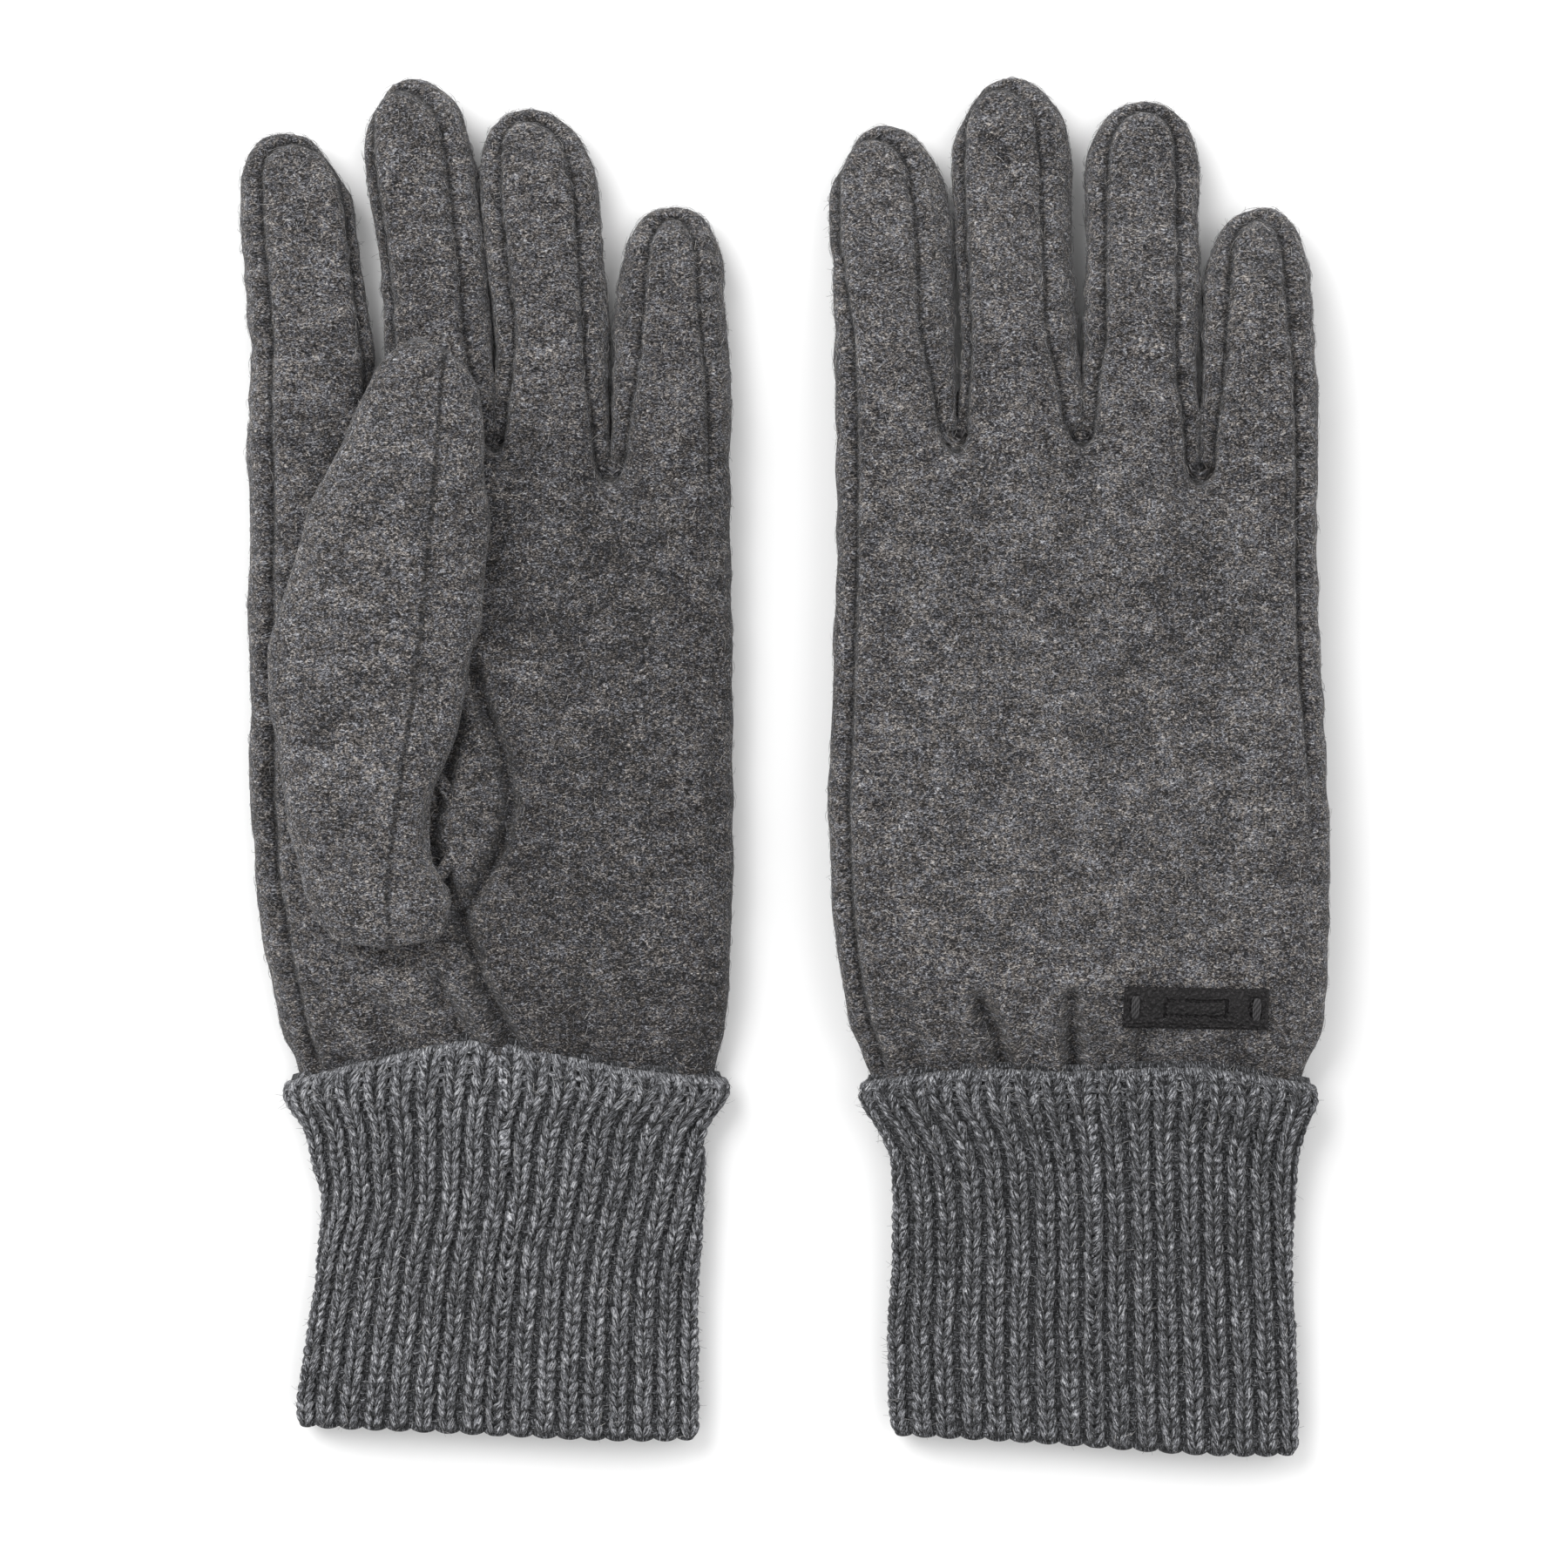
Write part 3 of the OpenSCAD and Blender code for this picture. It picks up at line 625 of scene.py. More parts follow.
def cuffCloth(side, name, firstRow, lastRow, material, mouth):
    # the cloth under the stitches: an outer and an inner face, each a ribbed grid, joined at
    # the mouth by a rounded lip; rib height is |cos|^0.7 of the place round the cuff
    cols = cuff["ribs"] * 12
    share = np.arange(cols) / cols
    ribs = np.abs(np.cos(math.pi * (share * cuff["ribs"] - 0.5))) ** 0.7
    outside, inside = 0.62 * ribs - 0.55, -cuff["wall"] + 0.25 * ribs
    rows = np.linspace(firstRow, lastRow, int((lastRow - firstRow) * 2.4))
    scallop = cuff["scallop"] * ribs
    levels = [np.full(cols, r) + (scallop if mouth and r > lastRow - 1 else 0) for r in rows]
    outer = [cuffPlace(side, share, r, outside) for r in levels]
    inner = [cuffPlace(side, share, r, inside) for r in levels[::-1]]
    lip = [cuffPlace(side, share, lastRow + scallop + 0.35 * math.sin(k),
                     outside * (1 + math.cos(k)) / 2 + inside * (1 - math.cos(k)) / 2)
           for k in (np.linspace(0, math.pi, 7)[1:-1] if mouth else ())]
    rings = np.stack(outer + lip + inner)
    points = rings.reshape(-1, 3)
    x = gloves[side]["x"]
    piece = makePiece(name, points + (x, 0, 0), [ringFaces(len(rings), cols)[:, ::-1]], material)
    # the cloth seen between the stitches is darkened: painted shade in the gaps
    tone = np.full(len(points), -0.20)
    setValues(piece, "tone", tone)
    run = np.stack([points[:, 1], np.tile(share, len(rings)) * perimeter, 0 * tone], -1)
    setValues(piece, "yarnPlace", run * mm)
    return piece


def ribStitches(side, name, firstRow, lastRow, material, seed, purl=False):
    # rib knit, outer face: every plain stitch is a V of two yarn legs whose outer ends lie high
    # on the sides of the rib and whose inner ends dive under the stitch below; in the valleys
    # the purl stitches show as short arcs across; each is an oval tube along its path
    rng = np.random.default_rng(seed)
    rings, around = 6, 6
    ribs, rows = np.meshgrid(np.arange(cuff["ribs"]), np.arange(firstRow, lastRow), indexing="ij")
    perStitch = 1 if purl else 2
    ribs, rows = np.repeat(ribs.ravel(), perStitch), np.repeat(rows.ravel(), perStitch)
    count = len(ribs)
    way = np.ones(count) if purl else np.tile([-1.0, 1.0], count // 2)
    t = np.linspace(0, 1, rings)[None, :]
    fat = rng.normal(0.78 if purl else 1, 0.07, (count, 1))
    ribShift = rng.normal(0, 0.12, cuff["ribs"])[ribs][:, None]
    atTop = 1 - smooth(rows + 0.0, 0, 5)[:, None]
    if purl:
        across = perimeter / cuff["ribs"] / 2 + (t - 0.5) * 2.7 + ribShift + rng.normal(0, 0.1, (count, 1))
        along = rows[:, None] + 0.35 + 0.30 * np.sin(math.pi * t) + rng.normal(0, 0.08, (count, 1))
        height = -0.88 + 0.30 * np.sin(math.pi * t) + 0.60 * atTop + rng.normal(0, 0.05, (count, 1))
    else:
        across = way[:, None] * (1.52 + 0.55 * atTop - (1.16 + 0.2 * atTop) * t ** 1.15) + ribShift
        across = across + rng.normal(0, 0.10, (count, 1)) + 0.12 * np.sin(rows[:, None] * 0.7 + ribs[:, None])
        along = rows[:, None] + 0.5 + (t - 0.5) * 1.42 + rng.normal(0, 0.07, (count, 1))
        along = along + 0.10 * np.sin(ribs * 1.9)[:, None]
        arch = np.sin(math.pi * (0.12 + 0.80 * t)) ** 0.8
        height = -0.10 + 0.62 * arch + rng.normal(0, 0.05, (count, 1)) - 0.10 * atTop
    # each leg is widened at right angles to its own direction on the cloth
    dS, dR = np.gradient(across, axis=1), np.gradient(along, axis=1) * cuff["rowPitch"]
    size = np.hypot(dS, dR)
    sideS, sideR = dR / size, -dS / size
    taper = 0.62 + 0.38 * np.sin(math.pi * np.clip(t * 0.92 + 0.04, 0, 1)) ** 0.6
    angle = np.linspace(0, 2 * math.pi, around, endpoint=False)
    wide, thick = [(half * fat * taper)[:, :, None] for half in cuff["yarn"]]
    s = across[:, :, None] + sideS[:, :, None] * np.cos(angle) * wide
    r = along[:, :, None] + sideR[:, :, None] * np.cos(angle) * wide / cuff["rowPitch"]
    h = height[:, :, None] + np.sin(angle) * thick
    share = (ribs[:, None, None] + 0.5) / cuff["ribs"] + s / perimeter
    points = cuffPlace(side, share.ravel(), r.ravel(), h.ravel()) + (gloves[side]["x"], 0, 0)
    # the faces of one leg with its two ends, repeated
    ends = np.array([[5, 4, 3, 2], [5, 2, 1, 0]])
    farEnds = (rings - 1) * around + np.array([[0, 1, 2, 3], [0, 3, 4, 5]])
    one = np.concatenate([gridFaces(rings, around), ends, farEnds])
    faces = (one[None] + (np.arange(count) * rings * around)[:, None, None]).reshape(-1, 4)
    piece = makePiece(name, points, [faces], material)
    # legs differ a little in tone; painted shade where a leg dives under its neighbours and in the valleys
    tone = rng.normal(0, 0.025, count) + (0.04 * np.exp(-rows / 4.0) if side == "left" else -0.035)
    patches = np.stack([ribs * 5.5, rows * 2.3], -1).astype(float)
    tone = tone + 0.02 * softWaves(patches, 30, seed + 5)
    # deep is painted shade at the ends of each plain leg and over the purl stitches
    deep = 0.20 * smooth(t, 0.55, 1.0) + 0.10 * (1 - smooth(t, 0.0, 0.25))
    if purl:
        deep = 0.17 - 0.15 * atTop
    tone = np.broadcast_to(tone[:, None] - deep, (count, rings))
    setValues(piece, "tone", np.repeat(tone.ravel(), around))
    runAlong = np.broadcast_to((t * 3.2)[:, :, None], s.shape) + rng.uniform(0, 90, (count, 1, 1))
    runRound = np.broadcast_to(angle * 0.8, s.shape) * way[:, None, None]
    run = np.stack([runAlong, runRound, np.broadcast_to(rng.uniform(0, 90, (count, 1, 1)), s.shape)], -1)
    setValues(piece, "yarnPlace", run.reshape(-1, 3) * mm)
    return piece


def topRoll(side, name, material):
    # the rolled top edge of the band: a soft beaded ring that the first stitches start from
    cols, sides = 1020, 10
    share = np.repeat(np.arange(cols) / cols, sides)
    turn = np.tile(np.linspace(0, 2 * math.pi, sides, endpoint=False), cols)
    radius = 0.95 + 0.12 * np.sin(2 * math.pi * 68 * share) + 0.08 * np.sin(2 * math.pi * 41 * share)
    points = cuffPlace(side, share, 0.05 + radius * np.cos(turn) / cuff["rowPitch"],
                       0.10 + radius * np.sin(turn) * 0.9)
    piece = makePiece(name, points + (gloves[side]["x"], 0, 0), [ringFaces(cols, sides)], material)
    setValues(piece, "tone", np.full(len(points), cuff[side]["rollTone"]))
    run = np.stack([turn * 0.9 + share * perimeter * 0.6, share * perimeter, 0 * share], -1)
    setValues(piece, "yarnPlace", run * mm)
    return piece


# loose fibres: shortest and longest, half thickness, how far they stand off, lowest point
nap = {"length": (0.8, 3.0), "thick": 0.05, "lift": 0.5, "lowest": 0.04, "rings": 5}


def fuzzOf(name, source, count, seed, reach=1.0):
    # fine curled fibres lying on the cloth: three-sided hairs along a path that bends as t^2 and
    # stands off as a sine, starting from vertices of a piece
    rng = np.random.default_rng(seed)
    spots, ups = (np.zeros(len(source.data.vertices) * 3, np.float32) for _ in range(2))
    source.data.vertices.foreach_get("co", spots)
    source.data.vertices.foreach_get("normal", ups)
    pick = rng.integers(0, len(spots) // 3, count)
    base, n = (spots.reshape(-1, 3) / mm).astype(float)[pick], ups.reshape(-1, 3).astype(float)[pick]
    way = rng.normal(size=(count, 3)) * (1.5, 1.0, 0.4)
    way -= n * (way * n).sum(1, keepdims=True)
    way /= np.linalg.norm(way, axis=1, keepdims=True) + 1e-9
    sideways = np.cross(n, way)
    size = rng.uniform(nap["length"][0] * reach, nap["length"][1] * reach, (count, 1, 1))
    t = np.linspace(0, 1, nap["rings"])[None, :, None]
    bend = rng.normal(0, 0.35, (count, 1, 1))
    up = rng.uniform(0.1, 1.0, (count, 1, 1)) * nap["lift"]
    path = (base[:, None] + way[:, None] * t * size + sideways[:, None] * bend * size * t ** 2
            + n[:, None] * (up * np.sin(math.pi * (0.1 + 0.8 * t)) * np.minimum(size, 2.5) / 2.5))
    angle = np.array([0, 2.094, 4.189])
    ring = (sideways[:, None, None] * np.cos(angle)[None, None, :, None]
            + n[:, None, None] * np.sin(angle)[None, None, :, None])
    body = path[:, :, None] + ring * (nap["thick"] * (1 - 0.5 * t))[:, :, None]
    body[..., 2] = np.maximum(body[..., 2], nap["lowest"])
    each = 3 * nap["rings"]
    step = (np.arange(count) * each)[:, None, None]
    faces = (gridFaces(nap["rings"], 3)[None] + step).reshape(-1, 4)
    caps = (np.array([[2, 1, 0], [each - 3, each - 2, each - 1]])[None] + step).reshape(-1, 3)
    piece = makePiece(name, body.reshape(-1, 3), [faces, caps], fibre)
    setValues(piece, "tone", np.repeat(rng.uniform(0, 1, count), each))
    return piece


def mathNode(tree, how, *values):
    return addNode(tree, "ShaderNodeMath", dict(enumerate(values)), operation=how).outputs[0]


def mapRange(tree, value, fromLow, fromHigh, toLow, toHigh, **settings):
    links = {0: value, 1: fromLow, 2: fromHigh, 3: toLow, 4: toHigh}
    return addNode(tree, "ShaderNodeMapRange", links, **settings).outputs[0]


def attribute(tree, name, output="Fac"):
    return addNode(tree, "ShaderNodeAttribute", attribute_name=name).outputs[output]


def fineNoise(tree, place, stretch, scale, detail=2.0):
    # a noise whose features are 1/scale metres across, made longer or shorter along each axis
    moved = addNode(tree, "ShaderNodeMapping", {"Vector": place, "Location": (scale * 0.0137, 0.31, 0.17),
                                                "Scale": stretch}).outputs[0]
    return addNode(tree, "ShaderNodeTexNoise", {"Vector": moved, "Scale": scale, "Detail": detail,
                                                "Roughness": 0.62}).outputs["Fac"]


def curledLines(tree, place, stretch, scale, width):
    # fibres: thin curled lines where a noise passes its middle value, 1 on the line and 0 beside it
    off = mathNode(tree, "SUBTRACT", fineNoise(tree, place, stretch, scale, 1.0), 0.5)
    return mapRange(tree, mathNode(tree, "ABSOLUTE", off), 0.0, width, 1.0, 0.0)


def weighted(tree, base, *terms):
    # base + weight * (value - middle), added up
    total = base
    for value, middle, weight in terms:
        part = mathNode(tree, "MULTIPLY", mathNode(tree, "SUBTRACT", value, middle), weight)
        total = mathNode(tree, "ADD", total, part)
    return total


# wool: base tone, colours from dark to pale fibres in a cooler and a warmer grey, shine
wool = {
    "middle": 0.47,
    "cool": ((0.22, "#101012"), (0.38, "#2b2b2e"), (0.50, "#4a4a4e"), (0.62, "#6c6c71"),
             (0.78, "#9c9da2"), (0.95, "#c4c5c8")),
    "warm": ((0.22, "#131110"), (0.38, "#302d2b"), (0.50, "#504c4a"), (0.62, "#726d6a"),
             (0.78, "#a39d98"), (0.95, "#cac4bd")),
    "yarnMiddle": 0.55,
    "yarn": ((0.22, "#131416"), (0.38, "#303133"), (0.50, "#525356"), (0.62, "#78797e"),
             (0.78, "#a9aaae"), (0.95, "#cecfd1")),
    "fibre": ((0.0, "#2c2c2f"), (0.35, "#5d5d60"), (0.8, "#8f8e90"), (1.0, "#c9c6c2")),
    "stitch": 2.4, "bump": (0.8, 0.0006),
    "shine": {"Roughness": 0.95, "Specular IOR Level": 0.2, "Sheen Weight": 0.15, "Sheen Roughness": 0.5}}


def brushedWool():
    # Charcoal melange wool jersey, milled and brushed: grey, black and pale fibres mixed before
    # spinning, so it shows fine curled pale and dark hairs over soft clouds, and is quite matt
    material, tree, shader = newMaterial("brushedMelangeWool", wool["shine"])
    place = attribute(tree, "restPlace", "Vector")
    grain = weighted(
        tree, wool["middle"],
        (fineNoise(tree, place, (0.7, 1.2, 1), 2900), 0.5, 1.3),
        (curledLines(tree, place, (0.8, 1.15, 1), 620, 0.034), 0, 0.22),
        (curledLines(tree, place, (0.9, 1.1, 1), 1050, 0.05), 0, 0.18),
        (curledLines(tree, place, (0.7, 1.2, 1), 780, 0.05), 0, -0.24),
        (fineNoise(tree, place, (0.8, 1.2, 1), 210, 3.0), 0.5, 0.42),
        (fineNoise(tree, place, (1, 1, 1), 60, 1.0), 0.5, 0.10),
        # the shade attribute: painted shade under the band and in folds, and a darker palm
        (attribute(tree, "shade"), 0, 1.0))
    cool, warm = rampOf(tree, grain, wool["cool"]), rampOf(tree, grain, wool["warm"])
    tint = mapRange(tree, fineNoise(tree, place, (1, 1, 1), 900, 1.0), 0.4, 0.6, 0.0, 1.0)
    mixed = addNode(tree, "ShaderNodeMix", {0: tint, 6: cool, 7: warm}, data_type="RGBA")
    # the sewn line is darker, and its stitches pull in at even steps
    gap, run = attribute(tree, "seamGap"), attribute(tree, "seamRun")
    line = mapRange(tree, gap, 0.10, 1.05, 0.30, 1.0, interpolation_type="SMOOTHSTEP")
    seamed = addNode(tree, "ShaderNodeVectorMath", {0: mixed.outputs[2], "Scale": line}, operation="SCALE")
    tree.links.new(seamed.outputs[0], shader.inputs["Base Color"])
    stitch = mathNode(tree, "SINE", mathNode(tree, "MULTIPLY", run, 2 * math.pi / wool["stitch"]))
    relief = mathNode(tree, "MULTIPLY_ADD", stitch, mapRange(tree, gap, 0.3, 1.4, 0.10, 0.0), grain)
    addBump(tree, shader, relief, *wool["bump"])
    return material


def ribYarn():
    # Softly spun melange wool yarn: pale and dark fibres run along the yarn with a slight
    # twist, and the yarn is matt with a faint bloom of loose ends
    material, tree, shader = newMaterial("ribKnitYarn", wool["shine"])
    place = attribute(tree, "yarnPlace", "Vector")
    grain = weighted(
        tree, wool["yarnMiddle"],
        (fineNoise(tree, place, (0.30, 1.5, 1), 2000), 0.5, 1.3),
        (fineNoise(tree, place, (0.6, 1.4, 1), 3000), 0.5, 1.0),
        (curledLines(tree, place, (0.35, 1.4, 1), 900, 0.045), 0, 0.25),
        (curledLines(tree, place, (0.35, 1.3, 1), 1100, 0.05), 0, -0.25))
    colour = rampOf(tree, mathNode(tree, "ADD", grain, attribute(tree, "tone")), wool["yarn"])
    tree.links.new(colour, shader.inputs["Base Color"])
    addBump(tree, shader, grain, *wool["bump"])
    return material


def fibreMaterial():
    # single wool fibres that stand off the cloth: most pale grey, some dark
    material, tree, shader = newMaterial("looseWoolFibre", {"Roughness": 0.8})
    tree.links.new(rampOf(tree, attribute(tree, "tone"), wool["fibre"]), shader.inputs["Base Color"])
    return material


def labelLeather():
    # Drum-dyed, pebble-grained cow leather: near black, small rounded grains with fine
    # creases between them, a soft satin shine
    material, tree, shader = newMaterial("pebbledLeather", {"Specular IOR Level": 0.26})
    place = addNode(tree, "ShaderNodeTexCoord").outputs["Object"]
    cells = addNode(tree, "ShaderNodeTexVoronoi", {"Vector": place, "Scale": 1500.0, "Randomness": 0.9},
                    feature="SMOOTH_F1").outputs["Distance"]
    grain = addNode(tree, "ShaderNodeTexNoise",
                    {"Vector": place, "Scale": 2600.0, "Detail": 3.0}).outputs["Fac"]
    height = mathNode(tree, "ADD", mathNode(tree, "MULTIPLY", cells, -0.8),
                      mathNode(tree, "MULTIPLY", grain, 0.35))
    # the colour follows the grain's height: painted shade in the creases between the grains, lighter on the
    # grain tops
    colour = rampOf(tree, mathNode(tree, "ADD", height, 0.75),
                    ((0.25, "#060506"), (0.6, "#171516"), (0.95, "#3a3739")))
    tree.links.new(colour, shader.inputs["Base Color"])
    tree.links.new(mapRange(tree, grain, 0.3, 0.7, 0.30, 0.50), shader.inputs["Roughness"])
    addBump(tree, shader, height, 1.0, 0.0011)
    return material


def sewingThread():
    # Spun polyester thread, two plies: black with a faint diagonal twist
    material, tree, shader = newMaterial("sewingThread", {"Roughness": 0.6})
    place = addNode(tree, "ShaderNodeTexCoord").outputs["Object"]
    turned = addNode(tree, "ShaderNodeMapping", {"Vector": place, "Rotation": (0, 0, 0.6)}).outputs[0]
    twist = addNode(tree, "ShaderNodeTexWave",
                    {"Vector": turned, "Scale": 420.0, "Distortion": 1.0}).outputs["Fac"]
    tree.links.new(rampOf(tree, twist, ((0.0, "#121112"), (1.0, "#413f41"))), shader.inputs["Base Color"])
    addBump(tree, shader, twist, 0.5, 0.0002)
    return material


cloth, yarn, fibre = brushedWool(), ribYarn(), fibreMaterial()
leather, thread = labelLeather(), sewingThread()
print("materials done")


def setDown(piece, slot, *nodes):
    # hides the CAD nodes that a piece takes the place of; the piece and its slot are not used
    if nodes:
        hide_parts(*nodes)


def blendAt(piece, side, child, u, fromY, toY):
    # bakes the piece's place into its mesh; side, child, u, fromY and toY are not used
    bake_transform(piece)


# how each glove is put together: fibres on each part, the reach on both sides of a knuckle and the
# places at the wrist handed to blendAt, how far below a knuckle a finger's piece starts, how much
# darker the palm is, and the painted shade under the band and in folds
build = {"fuzz": {"finger": 1300, "hand": 6500, "thumb": 2600, "cuff": 6500, "band": 1800},
         "fingerBend": 0.008, "handBend": (-0.058, -0.072), "bandBend": (-0.060, -0.072),
         "fingerStart": 9.5, "shade": -0.055, "cuffReach": 0.9}
panels = ("palm_panel", "back_panel", "index_edge_strip", "little_edge_strip", "fourchette_index_middle",
          "fourchette_middle_ring", "fourchette_ring_little")
# seam collar where the thumb is let into the palm: a soft ring round the thumb opening
collar = {"middle": (-23, -15.5), "radius": 15.8, "half": (1.5, 1.1), "left": 14.3, "right": 9.3}

for side in ("left", "right"):
    x = gloves[side]["x"]
    fuzzCount = build["fuzz"]
    skin = gloveSkin(side)
    points, quads, rest, gap, run, normals = skin
    print("skin", side, len(points), "points")
    # each face belongs to one finger or, below the knuckles, to the hand
    nearest = nearestFinger(side, points)
    starts = np.array([knuckleY[name] for name in fingerNames]) - build["fingerStart"]
    owner = np.where(rest[:, 1] > starts[nearest], nearest, -1)[quads[:, 0]]
    for i, name in enumerate(fingerNames):
        piece = pieceOfSkin(side + "_" + name + "_cloth", skin, owner == i, x, cloth)
        setDown(piece, "brushed_wool", *[side + "_" + name + "_" + k for k in ("front", "back", "strip")])
        fuzz = fuzzOf(side + "_" + name + "_fuzz", piece, fuzzCount["finger"], 100 + i)
        setDown(fuzz, "brushed_wool")
        knuckle, reach = knuckleY[name] * mm, build["fingerBend"]
        for each in (fuzz, piece):
            blendAt(each, side, name, gloves[side]["fingers"][name][0], knuckle - reach, knuckle + reach)
    piece = pieceOfSkin(side + "_hand_cloth", skin, owner < 0, x, cloth)
    fuzz = fuzzOf(side + "_hand_fuzz", piece, fuzzCount["hand"], 110)
    # the cloth is a little darker in the palm, and painted shade darkens it under the band and in folds
    inPalm = smooth(points[:, 0], -8, 4) * (1 - smooth(points[:, 1], 50, 85)) * (side == "left")
    underBandShade = 0.5 * (1 - smooth(points[:, 1], -68, -38)) + 0.8 * (1 - smooth(points[:, 1], -70, -60))
    foldShade = np.max([0.5 * deep * bell(nearestOnLines(points, [line])[0], wide)
                     for line, wide, deep in folds[side]], axis=0) * (normals[:, 2] > 0)
    shade = build["shade"] * (inPalm + underBandShade + foldShade)
    setValues(piece, "shade", shade[np.unique(quads[owner < 0])])
    setDown(piece, "brushed_wool", *[side + "_" + k for k in panels])
    setDown(fuzz, "brushed_wool")
    for each in (piece, fuzz):
        blendAt(each, side, "cuff", 0, *build["handBend"])

    tPoints, tQuads, tCaps, tRest, tGap, tRun = thumbSkin(side)
    piece = makePiece(side + "_thumb_cloth", tPoints + (x, 0, 0), [tQuads, tCaps], cloth)
    markCloth(piece, tRest + (x, 0, 3), tGap, tRun)
    fuzz = fuzzOf(side + "_thumb_fuzz", piece, fuzzCount["thumb"], 111)
    setDown(piece, "brushed_wool", side + "_thumb_outer_half", side + "_thumb_inner_half",
            side + "_thumb_under_panel")
    setDown(fuzz, "brushed_wool")
    for each in (piece, fuzz):
        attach(each, side + "_thumb")

    turn = np.linspace(0, 2 * math.pi, 96, endpoint=False)[:, None]
    tube = np.linspace(0, 2 * math.pi, 16, endpoint=False)[None, :]
    radius = collar["radius"] + collar["half"][0] * np.cos(tube)
    level = collar[side] + collar["half"][1] * np.sin(tube) + 0 * turn
    ring = np.stack([collar["middle"][0] + radius * np.cos(turn),
                     collar["middle"][1] + radius * np.sin(turn), level], -1).reshape(-1, 3) + (x, 0, 0)
    piece = makePiece(side + "_thumb_collar", ring, [ringFaces(96, 16)], cloth)
    markCloth(piece, ring, np.full(len(ring), 5.0), np.zeros(len(ring)))
    setDown(piece, "brushed_wool", side + "_thumb_gusset")
    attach(piece, side + "_hand")
    print("thumb", side, "done")

    # cuff: cloth and stitches; the top rows are the band at the wrist
    edge, last, seed = cuff["bandRows"], cuff["rows"], cuff[side]["seed"]
    bandCloth = cuffCloth(side, side + "_band_cloth", -1.0, edge, yarn, False)
    bandYarn = ribStitches(side, side + "_band_stitches", 0, edge, yarn, seed)
    bandPurl = ribStitches(side, side + "_band_purl", 0, edge, yarn, seed + 1, True)
    cuffBase = cuffCloth(side, side + "_cuff_cloth", edge - 0.4, last, yarn, True)
    cuffYarn = ribStitches(side, side + "_cuff_stitches", edge, last, yarn, seed + 2)
    cuffPurl = ribStitches(side, side + "_cuff_purl", edge, last, yarn, seed + 3, True)
    cuffFuzz = fuzzOf(side + "_cuff_fuzz", cuffYarn, fuzzCount["cuff"], seed + 4, build["cuffReach"])
    bandFuzz = fuzzOf(side + "_band_fuzz", bandYarn, fuzzCount["band"], seed + 5, build["cuffReach"])
    bandTop = topRoll(side, side + "_band_roll", yarn)
    for piece in (bandCloth, bandYarn, bandPurl, bandFuzz, bandTop):
        blendAt(piece, side, "cuff", 0, *build["bandBend"])
    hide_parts(side + "_wrist_band")
    for piece in (cuffBase, cuffYarn, cuffPurl, cuffFuzz):
        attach(piece, side + "_cuff")
    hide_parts(side + "_rib_cuff")
    print("cuff", side, "done")

# The label: its size, place and turn, the middle of each row of thread bars, its rounded edge, the
# dimple round the bars, and two pressed frames as half length, half width, depth and width.
label = {"length": 31.6, "width": 9.0, "thick": 1.2, "at": (89.3, -54.3), "tilt": -1.4, "stitchAt": 13.2,
         "edge": (0.35, 0.7), "dimple": (0.7, 1.6, 3.1),
         "frames": ((6.7, 1.7, 0.45, 0.30), (14.9, 3.7, 0.12, 0.2)),
         "grid": (220, 72), "under": -0.4, "clear": 0.15}
bar = {"count": 4, "pitch": 0.46, "half": 0.27, "reach": 2.5, "level": 0.62, "arch": 0.42}


def bowl(x, y):
    # terms of a gently curved surface: 1, x, y, x^2, xy, y^2
    x, y = (x - label["at"][0]) / 16, (y - label["at"][1]) / 16
    return np.stack([np.ones_like(x), x, y, x * x, x * y, y * y], -1)


# the curved surface nearest to the cloth under the label, by least squares
cx, cy = points[:, 0] + gloves["right"]["x"], points[:, 1]
under = (np.abs(cx - label["at"][0]) < 17) & (np.abs(cy - label["at"][1]) < 6) & (normals[:, 2] > 0.5)
clothUnder = np.linalg.lstsq(bowl(cx[under], cy[under]), points[under, 2], rcond=None)[0]


def labelPlace(u, v, height):
    a = math.radians(label["tilt"])
    x = label["at"][0] + u * math.cos(a) - v * math.sin(a)
    y = label["at"][1] + u * math.sin(a) + v * math.cos(a)
    return np.stack([x, y, bowl(x, y) @ clothUnder + label["clear"] + height], -1)


def labelPiece():
    # a strip of leather: a grid over its top with pillowed edges, a dimple round each row of
    # thread bars and two plain pressed frames, closed by its edge and its underside
    cols, rows = label["grid"]
    u = np.linspace(-1, 1, cols) * label["length"] / 2
    v = np.linspace(-1, 1, rows) * label["width"] / 2
    uu, vv = np.meshgrid(u, v, indexing="ij")
    inward = np.minimum(label["length"] / 2 - np.abs(uu), label["width"] / 2 - np.abs(vv))
    drop, wide = label["edge"]
    top = label["thick"] - drop * (1 - smooth(inward, 0, wide))
    deep, across, along = label["dimple"]
    top = top - deep * bell(np.abs(uu) - label["stitchAt"], across) * bell(vv, along)
    for halfLength, halfWidth, deep, wide in label["frames"]:
        top = top - deep * bell(np.maximum(np.abs(uu) - halfLength, np.abs(vv) - halfWidth), wide)
    top = top + 0.10 * np.sin(uu * 0.32) * np.cos(vv * 0.4)
    upper = labelPlace(uu, vv, top)
    lower = labelPlace(uu * 0.995, vv * 0.985, np.full_like(top, label["under"]))
    r, c = np.meshgrid(np.arange(cols - 1), np.arange(rows - 1), indexing="ij")
    a = r * rows + c
    topFaces = np.stack([a, a + rows, a + rows + 1, a + 1], -1).reshape(-1, 4)
    n = cols * rows
    border = np.concatenate([np.arange(cols) * rows, (cols - 1) * rows + np.arange(1, rows),
                             (np.arange(cols - 1)[::-1]) * rows + rows - 1, np.arange(rows - 1)[::-1][:-1]])
    following = np.roll(border, -1)
    walls = np.stack([border + n, following + n, following, border], -1)
    return makePiece("right_leather_label", np.concatenate([upper.reshape(-1, 3), lower.reshape(-1, 3)]),
                     [np.concatenate([topFaces, topFaces[:, ::-1] + n, walls])], leather)


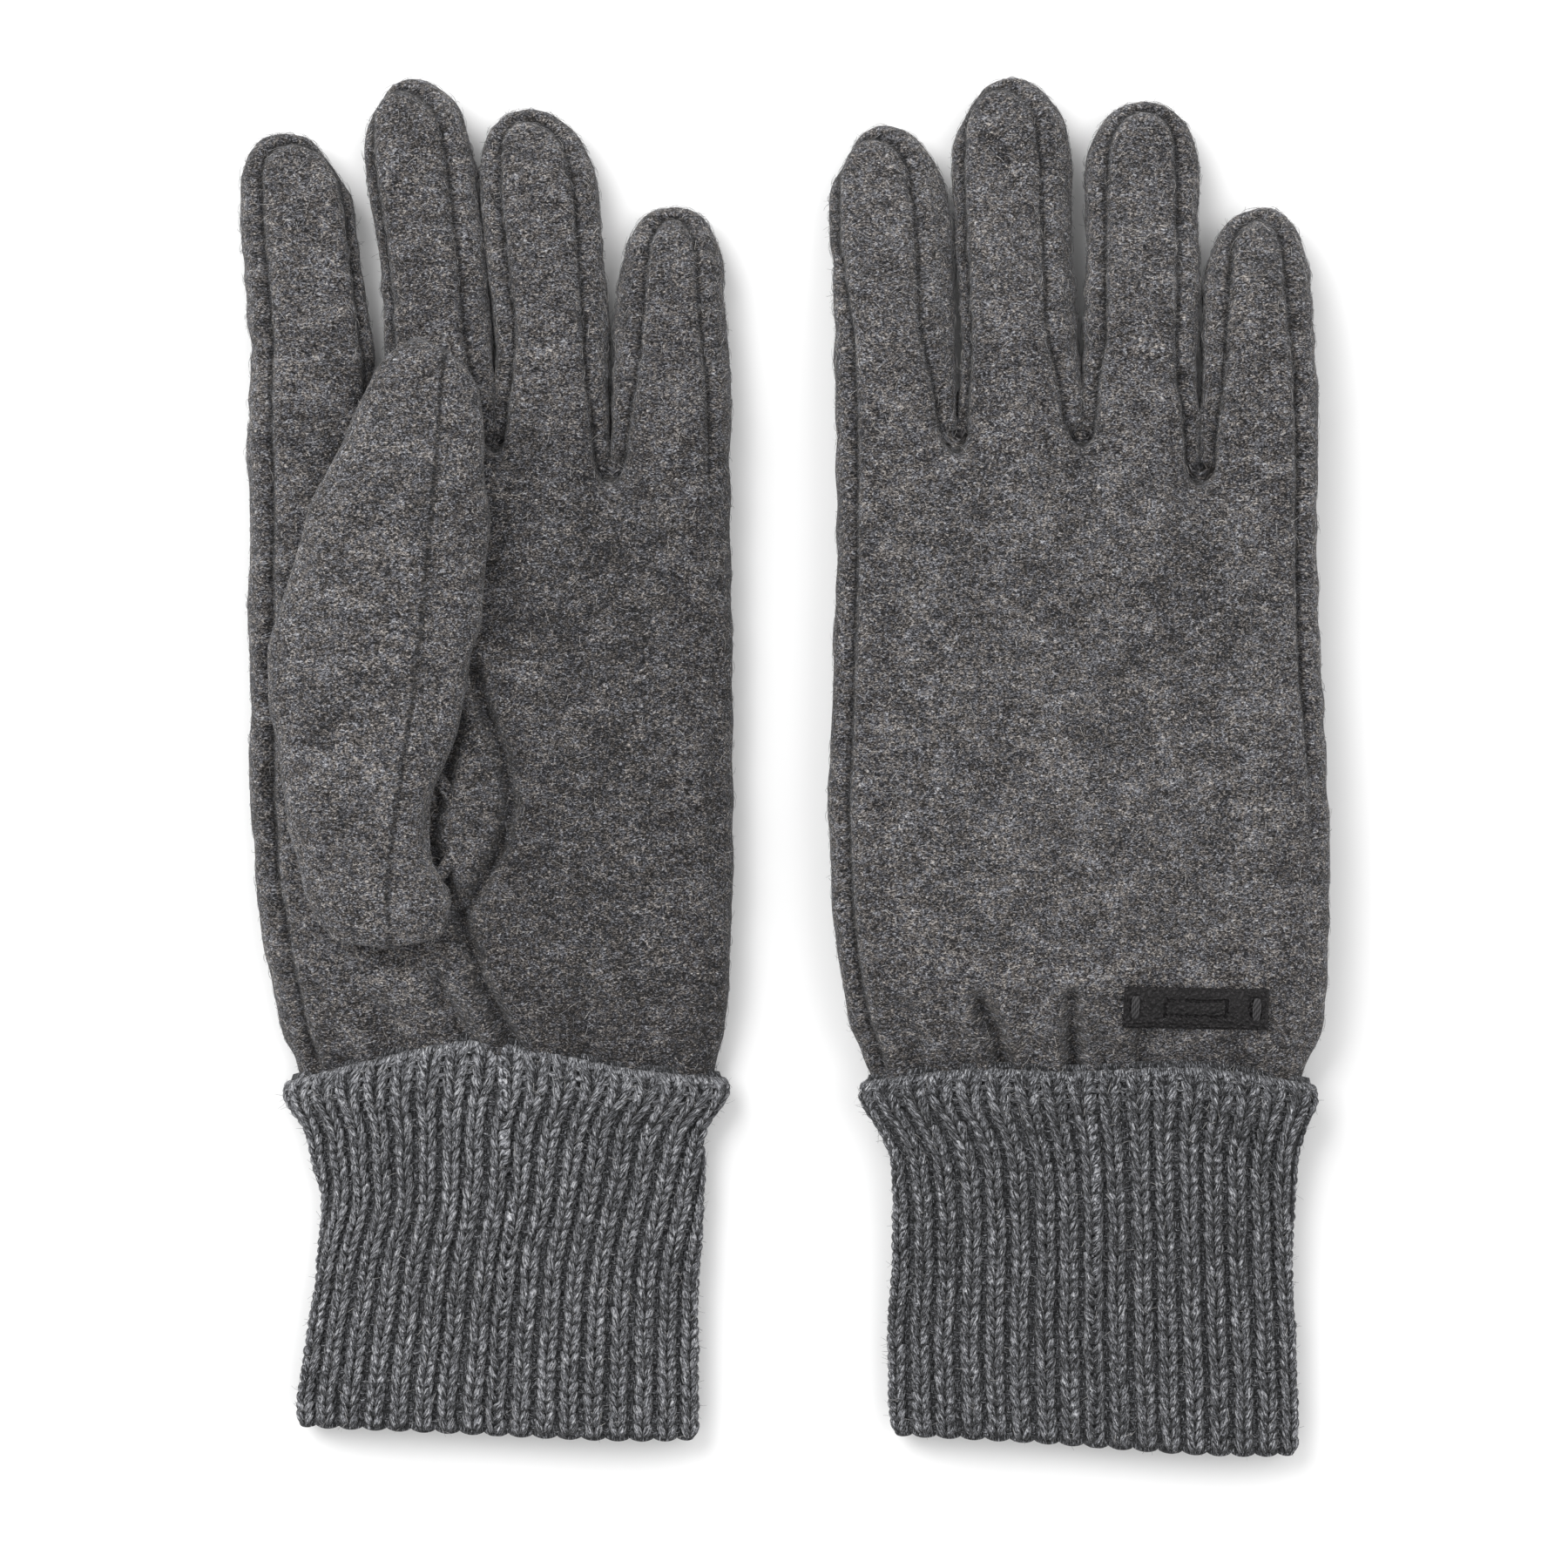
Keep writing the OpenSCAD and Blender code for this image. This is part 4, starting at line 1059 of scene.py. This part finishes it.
def threadBars():
    # turns of thread side by side over each end of the label, drawn together at their ends
    bars, faces, start = [], [], 0
    t = np.linspace(-1, 1, 25)[:, None]
    a = np.linspace(0, 2 * math.pi, 10, endpoint=False)[None, :]
    for end in (-1, 1):
        for k in range(bar["count"]):
            beside = (k - (bar["count"] - 1) / 2) * bar["pitch"] * np.sqrt(1 - 0.75 * t ** 2)
            u = end * label["stitchAt"] + beside + bar["half"] * np.cos(a)
            h = bar["level"] + bar["arch"] * np.sqrt(np.clip(1 - t ** 2, 0, 1)) + bar["half"] * np.sin(a)
            p, q, c = closedLoft(labelPlace(u, t * bar["reach"] + 0 * a, h), start)
            bars.append(p)
            faces += [q, c]
            start += len(p)
    return makePiece("right_label_thread_bars", np.concatenate(bars), faces, thread)


for piece, slot, node in ((labelPiece(), "label_leather", "right_label"),
                          (threadBars(), "label_thread", "right_label_threads")):
    setDown(piece, slot, node)
    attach(piece, "right_hand")
print("label done")

# the table, the light and the camera; sizes in metres, power in watts
studio = {"tableHalf": 4, "world": 0.85, "lens": 100, "sensor": 36, "camera": (0.00063, -0.006, 0.958),
          "boxes": (("topLeft", (-0.9, 0.9, 1.4), 1.2, 26), ("topRight", (0.9, 0.2, 1.7), 1.0, 6)),
          "paper": {"Base Color": (0.9, 0.9, 0.9, 1), "Roughness": 0.9, "Specular IOR Level": 0.1}}
far = studio["tableHalf"]
floorMesh = bpy.data.meshes.new("table")
floorMesh.from_pydata([(-far, -far, 0), (far, -far, 0), (far, far, 0), (-far, far, 0)], [], [(0, 1, 2, 3)])
floor = bpy.data.objects.new("table", floorMesh)
bpy.context.scene.collection.objects.link(floor)
floorMesh.materials.append(newMaterial("whitePaper", studio["paper"])[0])

world = bpy.data.worlds.new("studio")
bpy.context.scene.world = world
world.use_nodes = True
background = world.node_tree.nodes["Background"]
background.inputs["Color"].default_value = (1, 1, 1, 1)
background.inputs["Strength"].default_value = studio["world"]
for name, where, size, power in studio["boxes"]:
    light = bpy.data.lights.new(name, "AREA")
    light.shape, light.size, light.energy = "SQUARE", size, power
    lamp = bpy.data.objects.new(name, light)
    bpy.context.scene.collection.objects.link(lamp)
    lamp.location = where
    lamp.rotation_euler = (-Vector(where)).to_track_quat("-Z", "Y").to_euler()

camera = bpy.data.objects.new("camera", bpy.data.cameras.new("camera"))
bpy.context.scene.collection.objects.link(camera)
camera.data.lens, camera.data.sensor_width = studio["lens"], studio["sensor"]
camera.location = studio["camera"]
camera.data.clip_start = 0.05
bpy.context.scene.camera = camera
bpy.context.scene.view_settings.view_transform = "Standard"
print("studio done")
